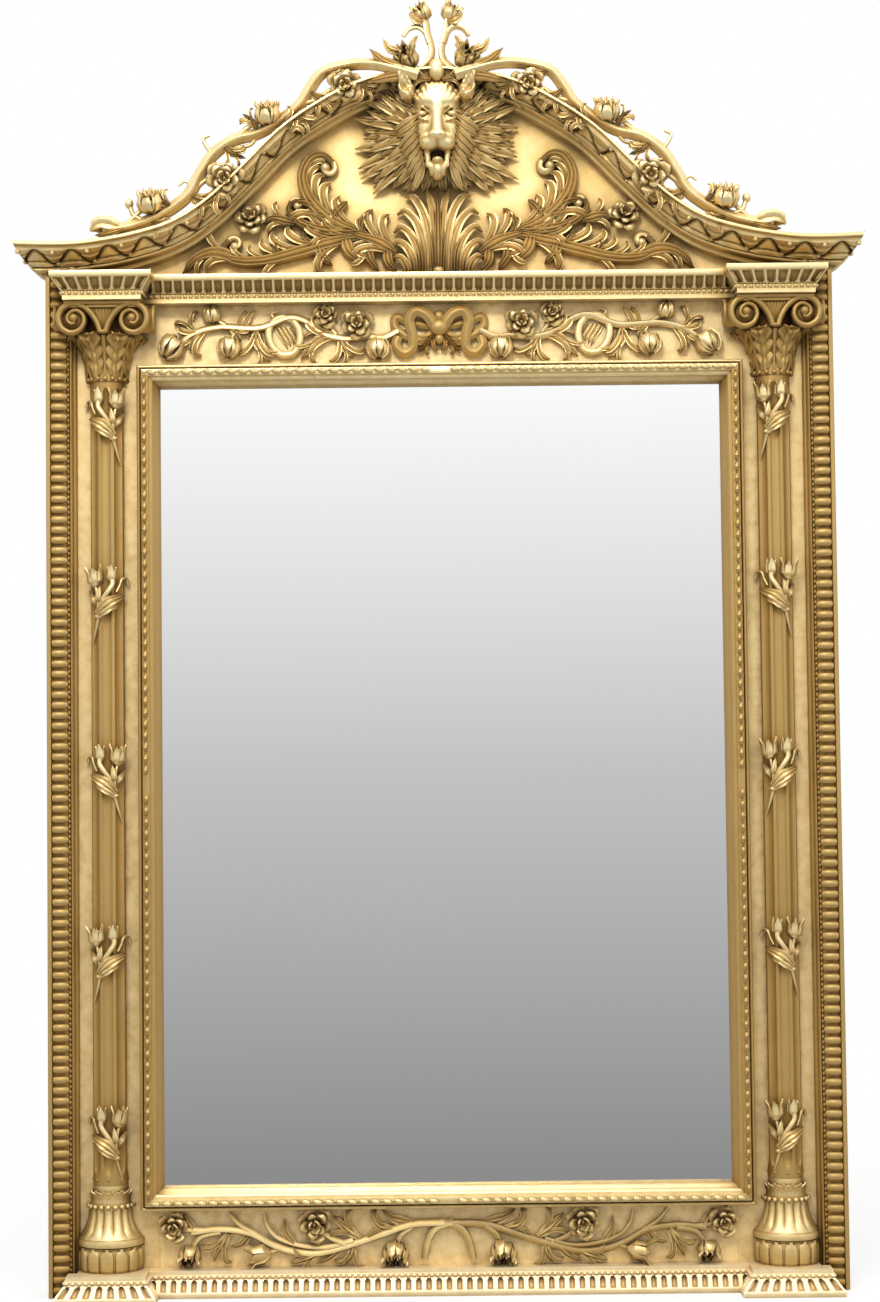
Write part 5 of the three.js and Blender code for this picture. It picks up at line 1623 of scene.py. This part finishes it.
# Each twig is a path and the radii of its two ends, at the depth of the branch.
TWIGS = (
    ([(371, 90), (345, 112), (322, 130), (297, 132)], 4.5, 3.5),
    ([(332, 137), (322, 152), (300, 150)], 3.5, 2.8),
    ([(314, 164), (327, 186), (318, 193)], 3.0, 2.2), ([(285, 185), (262, 205), (240, 216)], 4.0, 3.2),
    ([(190, 236), (172, 240), (150, 254), (132, 259)], 4.0, 3.0),
    ([(440, 62), (418, 84), (404, 94)], 4.0, 3.0),
    ([(249, 195), (262, 178), (282, 176)], 3.0, 2.2), ([(405, 72), (424, 80), (430, 94)], 3.6, 3.2),
    ([(340, 118), (352, 128), (362, 122)], 2.4, 1.6),
)
VINE_LEAVES = (
    ([(371, 92), (384, 100), (394, 108)], 14), ([(345, 108), (326, 100), (308, 104)], 18),
    ([(320, 128), (300, 114), (280, 112)], 18), ([(300, 178), (286, 166), (268, 160)], 16),
    ([(250, 196), (258, 212), (272, 222)], 15), ([(200, 228), (190, 214), (172, 208)], 18),
    ([(176, 252), (160, 240), (140, 236)], 18), ([(160, 280), (140, 272), (116, 276)], 14),
    ([(405, 74), (388, 66), (366, 70)], 14), ([(110, 268), (98, 256), (84, 254)], 16),
    ([(300, 118), (322, 96), (350, 84)], 18), ([(220, 200), (204, 208), (180, 218)], 18),
)
END_LEAVES = (([(30, 272), (62, 270), (96, 262)], 17), ([(44, 276), (72, 290), (93, 308)], 18))


def crest(s, points, deep=VINE_DEEP, hump=0):
    """Points on one half of the crest. hump brings the second of them forward."""
    return [
        (s * x, (deep + d[0] if d else deep) + hump * (j == 1), TOP + z)
        for j, (x, z, *d) in enumerate(points)
    ]


def sepals(s, x, z):
    """Five narrow leaves that fan up around an open flower."""
    for k in range(-2, 3):
        root = (s * x + k * 4, VINE_DEEP, TOP + z)
        middle = (s * x + k * 7, VINE_DEEP + 4, TOP + z + 12)
        tip = (s * x + k * 9, VINE_DEEP + 3, TOP + z + 23 - 2 * abs(k))
        yield blade([root, middle, tip], 8, rise=3)


for side, s in SIDES:
    vine = Carving()
    vine.add(stem(crest(s, VINE), 8.2, 7.0, count=160, sides=20, ribs=4, rib=0.17))
    for points, r0, r1 in TWIGS:
        vine.add(stem(crest(s, points), r0, r1))
    for x, z, r, turn in ((297, 130, 23, 0.8), (128, 260, 21, 1.0)):
        vine.add(*rose(s * x, VINE_DEEP + 2, TOP + z, r, turn, (0, -0.1)))
    for x, z, lean in ((402, 98, 0.15), (237, 221, 0.1)):
        vine.add(*bloom(s * x, VINE_DEEP + 2, TOP + z, 19, (lean * s, 1.4), petals=6))
        vine.add(*sepals(s, x, z))
    bud = line(crest(s, [(440, 62), (456, 66), (472, 68), (486, 60)]), 24)
    swell = shape_by(np.linspace(0, 1, 24), (0, 5), (0.4, 11.5), (0.75, 10), (1, 2))
    vine.add(tube(bud, swell, 40, ribs=6, rib=0.2))
    vine.add(lock(crest(s, [(440, 60), (458, 54), (478, 52)], VINE_DEEP + 6), 12, 5.0))
    vine.add(ball(s * 431, VINE_DEEP, TOP + 97, 6, 6, 7))
    for points, width in END_LEAVES:
        vine.add(lock(crest(s, points, VINE_DEEP + 15), width, 6.0, strands=3))
    for points, width in VINE_LEAVES:
        path = crest(s, points, hump=2)
        vine.add(*frond(path, width * 0.8, 2, 2, reach=width * 0.95, rise=5.5))
    vine.piece(f"vine_{side}", f"crest_vine_{side}", smooth=50)

# %% Finial
LYRE = [(26, 280), (12, 292), (7, 306), (9, 322), (16, 336), (26, 343), (38, 340), (46, 330)]
LYRE_ARM = [(9, 320), (13, 334), (15, 348), (19, 360)]
FINIAL_LEAVES = (
    ([(50, 306), (66, 312), (74, 326)], 12), ([(36, 306), (32, 320), (26, 330)], 10),
    ([(18, 350), (28, 352), (38, 362)], 12),
)
finial = Carving()
finial.add(ball(0, 60, TOP + 280, 13, 13, 17))
for s in (-1, 1):
    finial.add(stem(crest(s, LYRE), 5.4, 3.0, count=60, sides=14, ribs=3, rib=0.16))
    finial.add(stem(crest(s, LYRE_ARM), 5.0, 5.0, count=30, sides=14, ribs=3, rib=0.16))
    finial.add(*bloom(s * 21, 54, TOP + 364, 15, (s * 0.5, 0.9), petals=6))
    finial.add(*bloom(s * 43, 58, TOP + 299, 19, (s * 0.15, 0.35), petals=6))
    for points, width in FINIAL_LEAVES:
        finial.add(lock(crest(s, points, 58, hump=3), width, 5.0, strands=2))
    finial.add(*frond(crest(s, [(8, 266), (22, 268), (34, 264)], 64), 12, 1, 1, reach=12, rise=5))
finial.piece("finial", "crest_finial", smooth=50)

# %% [markdown]
# ## Garlands in the friezes
# The upper frieze has a knotted ribbon in the middle and a spray of roses and leaves on each side.
# The lower one has two long sprays whose main stem waves along the board, and an arm of each hangs
# down beside the middle.

# %% Upper garland
GARLAND_Z, SPRAY_Z = 1337.0, 75.5


def frieze(s, points, level, deep=7.0):
    """Points on one half of a frieze, at one level and depth, or with a rise of their own."""
    return [(s * x, deep + (d[0] if d else 0), level + z) for x, z, *d in points]


def leaves(carving, s, level, rows):
    """Small fronds. Each row has a path, a width, and the fingers on the left and right."""
    for points, width, left, right in rows:
        fingers = (left, right) if s > 0 else (right, left)
        shape = {"reach": width * 1.1, "rise": 4.2, "strands": 2, "foot": 0.3}
        carving.add(*frond(frieze(s, points, level), width * 0.85, *fingers, **shape))


GARLAND_STEMS = (
    ([(58, 4), (80, -6), (100, -4), (135, -6), (165, 2), (190, 20), (215, 24), (255, 10),
      (310, 12), (345, 4), (366, -10)], 5.0, 5.0),
    ([(104, -2), (112, 6), (116, 14)], 3.4, 3.0), ([(145, 0), (156, 14), (161, 24)], 3.4, 3.0),
    ([(270, 10), (288, 4), (297, -12)], 3.4, 3.0), ([(296, 12), (310, 20), (320, 26)], 3.4, 3.0),
    ([(230, 20), (236, 30), (228, 34)], 2.4, 1.8),
)
GARLAND_RING = [
    (204, 22), (226, 24), (240, 10), (238, -12), (224, -28), (206, -26), (197, -10), (198, 8),
    (206, 20),
]
GARLAND_BLOOMS = (
    (379, -17, 20, (0.6, -1.0)), (297, -18, 18, (0.1, -1.2)),
    (87, -21, 18, (-0.1, -1.2)), (321, 30, 14, (0.1, 1.2)),
)
GARLAND_LEAVES = (
    ([(148, -4), (168, -6), (184, -20), (196, -34)], 20, 2, 2),
    ([(140, -4), (134, -18), (122, -32)], 18, 1, 2),
    ([(258, 8), (258, -10), (248, -26), (238, -38)], 20, 2, 2),
    ([(330, 8), (346, -4), (352, -22)], 19, 2, 2),
    ([(150, 0), (172, 4), (188, 14)], 15, 2, 1), ([(276, 10), (270, 24), (260, 36)], 12, 0, 0),
    ([(284, 10), (280, 24), (272, 36)], 10, 0, 0), ([(345, 6), (352, 18), (346, 32)], 13, 1, 1),
    ([(296, 12), (286, 2), (280, -8)], 12, 1, 0),
)
for side, s in SIDES:
    garland = Carving()
    for points, r0, r1 in GARLAND_STEMS:
        path = frieze(s, points, GARLAND_Z)
        garland.add(stem(path, r0, r1, count=10 * len(points), ribs=3, rib=0.1, sides=12))
    for k in range(4):
        near_blade = [(232 - 7 * k, 14 - k), (222 - 7 * k, -2 - k), (214 - 4 * k, -19 + 3 * k)]
        far_blade = [(276 - 9 * k, 12), (268 - 8 * k, 0), (262 - 6 * k, -14)]
        for points, width in ((near_blade, 8), (far_blade, 9)):
            garland.add(lock(frieze(s, points, GARLAND_Z, 1.5), width, 2.6, strands=2))
    ring = frieze(s, GARLAND_RING, GARLAND_Z, 8)
    garland.add(stem(ring, 4.2, 4.2, count=70, flat=0.8, ribs=2, rib=0.2))
    for x, z, r, heading in GARLAND_BLOOMS:
        garland.add(*bloom(s * x, 9, GARLAND_Z + z, r, (s * heading[0], heading[1]), closed=True))
    garland.add(*rose(s * 116, 10, GARLAND_Z + 13, 21, 0.9, (0, 0.1)))
    garland.add(*rose(s * 160, 9, GARLAND_Z + 27, 16, 0.2, (0, 0.1), petals=(5, 5, 3)))
    leaves(garland, s, GARLAND_Z, GARLAND_LEAVES)
    garland.piece(f"garland_carved_{side}", f"garland_{side}", smooth=50)

# %% Ribbon
RIBBON_LOOP = [
    (5, 8, 5), (18, 26, 8), (34, 31, 8), (42, 18, 6), (38, -2, 4), (38, -20, 2), (50, -28, 2),
    (61, -17, 2), (58, -4),
]
RIBBON_CROSS = [(6, 2, 3), (24, -8, 4), (44, -4, 3), (62, 10), (60, 24), (40, 16, 1), (10, 10, 2)]
bow_carving = Carving()
for depth, up, sizes in ((12, 8, (14, 10, 12)), (10, 24, (8, 7, 9)), (10, -8, (7, 7, 8))):
    bow_carving.add(ball(0, depth, GARLAND_Z + up, *sizes))
for s in (-1, 1):
    loop = frieze(s, RIBBON_LOOP, GARLAND_Z, 8)
    bow_carving.add(stem(loop, 7.0, 5.6, count=90, flat=0.55, ribs=4, rib=0.16, sides=18))
    cross_loop = frieze(s, RIBBON_CROSS, GARLAND_Z, 5)
    bow_carving.add(stem(cross_loop, 5.6, 5.0, count=80, flat=0.5, ribs=4, rib=0.16, sides=18))
    leaf = frieze(s, [(4, 4), (16, -12), (30, -26)], GARLAND_Z, 8)
    bow_carving.add(*frond(leaf, 12, 2, 2, reach=13, rise=6, foot=0.3))
# The bow takes the darker copy of the gilding, which is painted shade.
bow_carving.piece("bow", "garland_bow", finish="toned_shaded_moulding", smooth=50)

# %% Lower sprays
SPRAY_STEMS = (
    ([(-6, 18), (50, 16), (92, 3), (133, -10), (179, -22), (215, -20), (245, -10), (276, 6),
      (317, 12), (357, 8)], 5.6, 4.6),
    ([(133, -5), (170, -14), (208, -11), (238, 0), (252, 16), (256, 33)], 4.4, 2.6),
    ([(-2, 18), (18, 10), (29, -8), (34, -32)], 5.4, 4.8), ([(143, -10), (162, -2), (180, 10)], 4.6, 3.8),
    ([(51, 13), (66, 2), (74, -16)], 4.4, 3.6), ([(268, 4), (290, 18), (305, 35)], 4.4, 2.6),
    ([(317, 9), (344, 2), (358, -16)], 4.6, 3.6), ([(234, -14), (244, -18), (252, -21)], 4.2, 3.6),
    ([(340, 10), (360, 12), (378, 17)], 4.6, 3.8),
)
SPRAY_LEAVES = (
    ([(123, -2), (142, 12), (160, 29)], 17, 1, 1), ([(77, 10), (98, 16), (108, 35)], 15, 1, 1),
    ([(133, -12), (136, -26), (144, -38)], 15, 1, 1), ([(306, 6), (318, -14), (327, -32)], 17, 1, 1),
    ([(179, -22), (200, -30), (220, -36)], 15, 1, 1),
)
SPRAY_BLADES = (
    ([(352, 8), (360, 20), (369, 35)], 13), ([(51, 18), (76, 24), (93, 36)], 14),
    ([(150, -14), (166, -28), (184, -37)], 12), ([(276, 6), (288, -8), (304, -12)], 12),
    ([(212, -12), (226, 4), (228, 26)], 12),
)
for side, s in SIDES:
    spray = Carving()
    for points, r0, r1 in SPRAY_STEMS:
        path = frieze(s, points, SPRAY_Z)
        spray.add(stem(path, r0, r1, count=12 * len(points), ribs=3, rib=0.16, sides=12))
    spray.add(*rose(s * 186, 9, SPRAY_Z + 19, 22, 0.3, (0, -0.1), petals=(6, 5, 3)))
    spray.add(*rose(s * 382, 9, SPRAY_Z + 17, 19, 0.2, (0, -0.1), petals=(5, 5, 3)))
    spray.add(*bloom(s * 360, 9, SPRAY_Z - 24, 17, (0, -0.5), petals=5))
    spray.add(*bloom(s * 75, 9, SPRAY_Z - 25, 20, (0, -0.5), petals=8))
    cup, mouth_at = (s * 248, 8, SPRAY_Z - 20), (s * 284, 11, SPRAY_Z - 27)
    spray.add(*tulip(cup, mouth_at, 17, petals=6, flare=0.9, open_=0.45))
    leaves(spray, s, SPRAY_Z, SPRAY_LEAVES)
    for points, width in SPRAY_BLADES:
        spray.add(lock(frieze(s, points, SPRAY_Z, 5), width, 5.0, strands=2))
    spray.piece(f"spray_{side}", f"bottom_spray_{side}", smooth=50)

# %% [markdown]
# ## What is left of the imported nodes
# Every node that keeps its own mesh gets its finish here.

# %% Finish the plain nodes
SLOTS = {row["node"]: row["material_slot"] for row in frame["record"]["subparts"]}
for name, node in frame["nodes"].items():
    node.data.materials.clear()
    node.data.materials.append(finishes[SLOTS[name]])
print("plain nodes dressed:", len(SLOTS))

# %% End
bpy.context.view_layer.update()
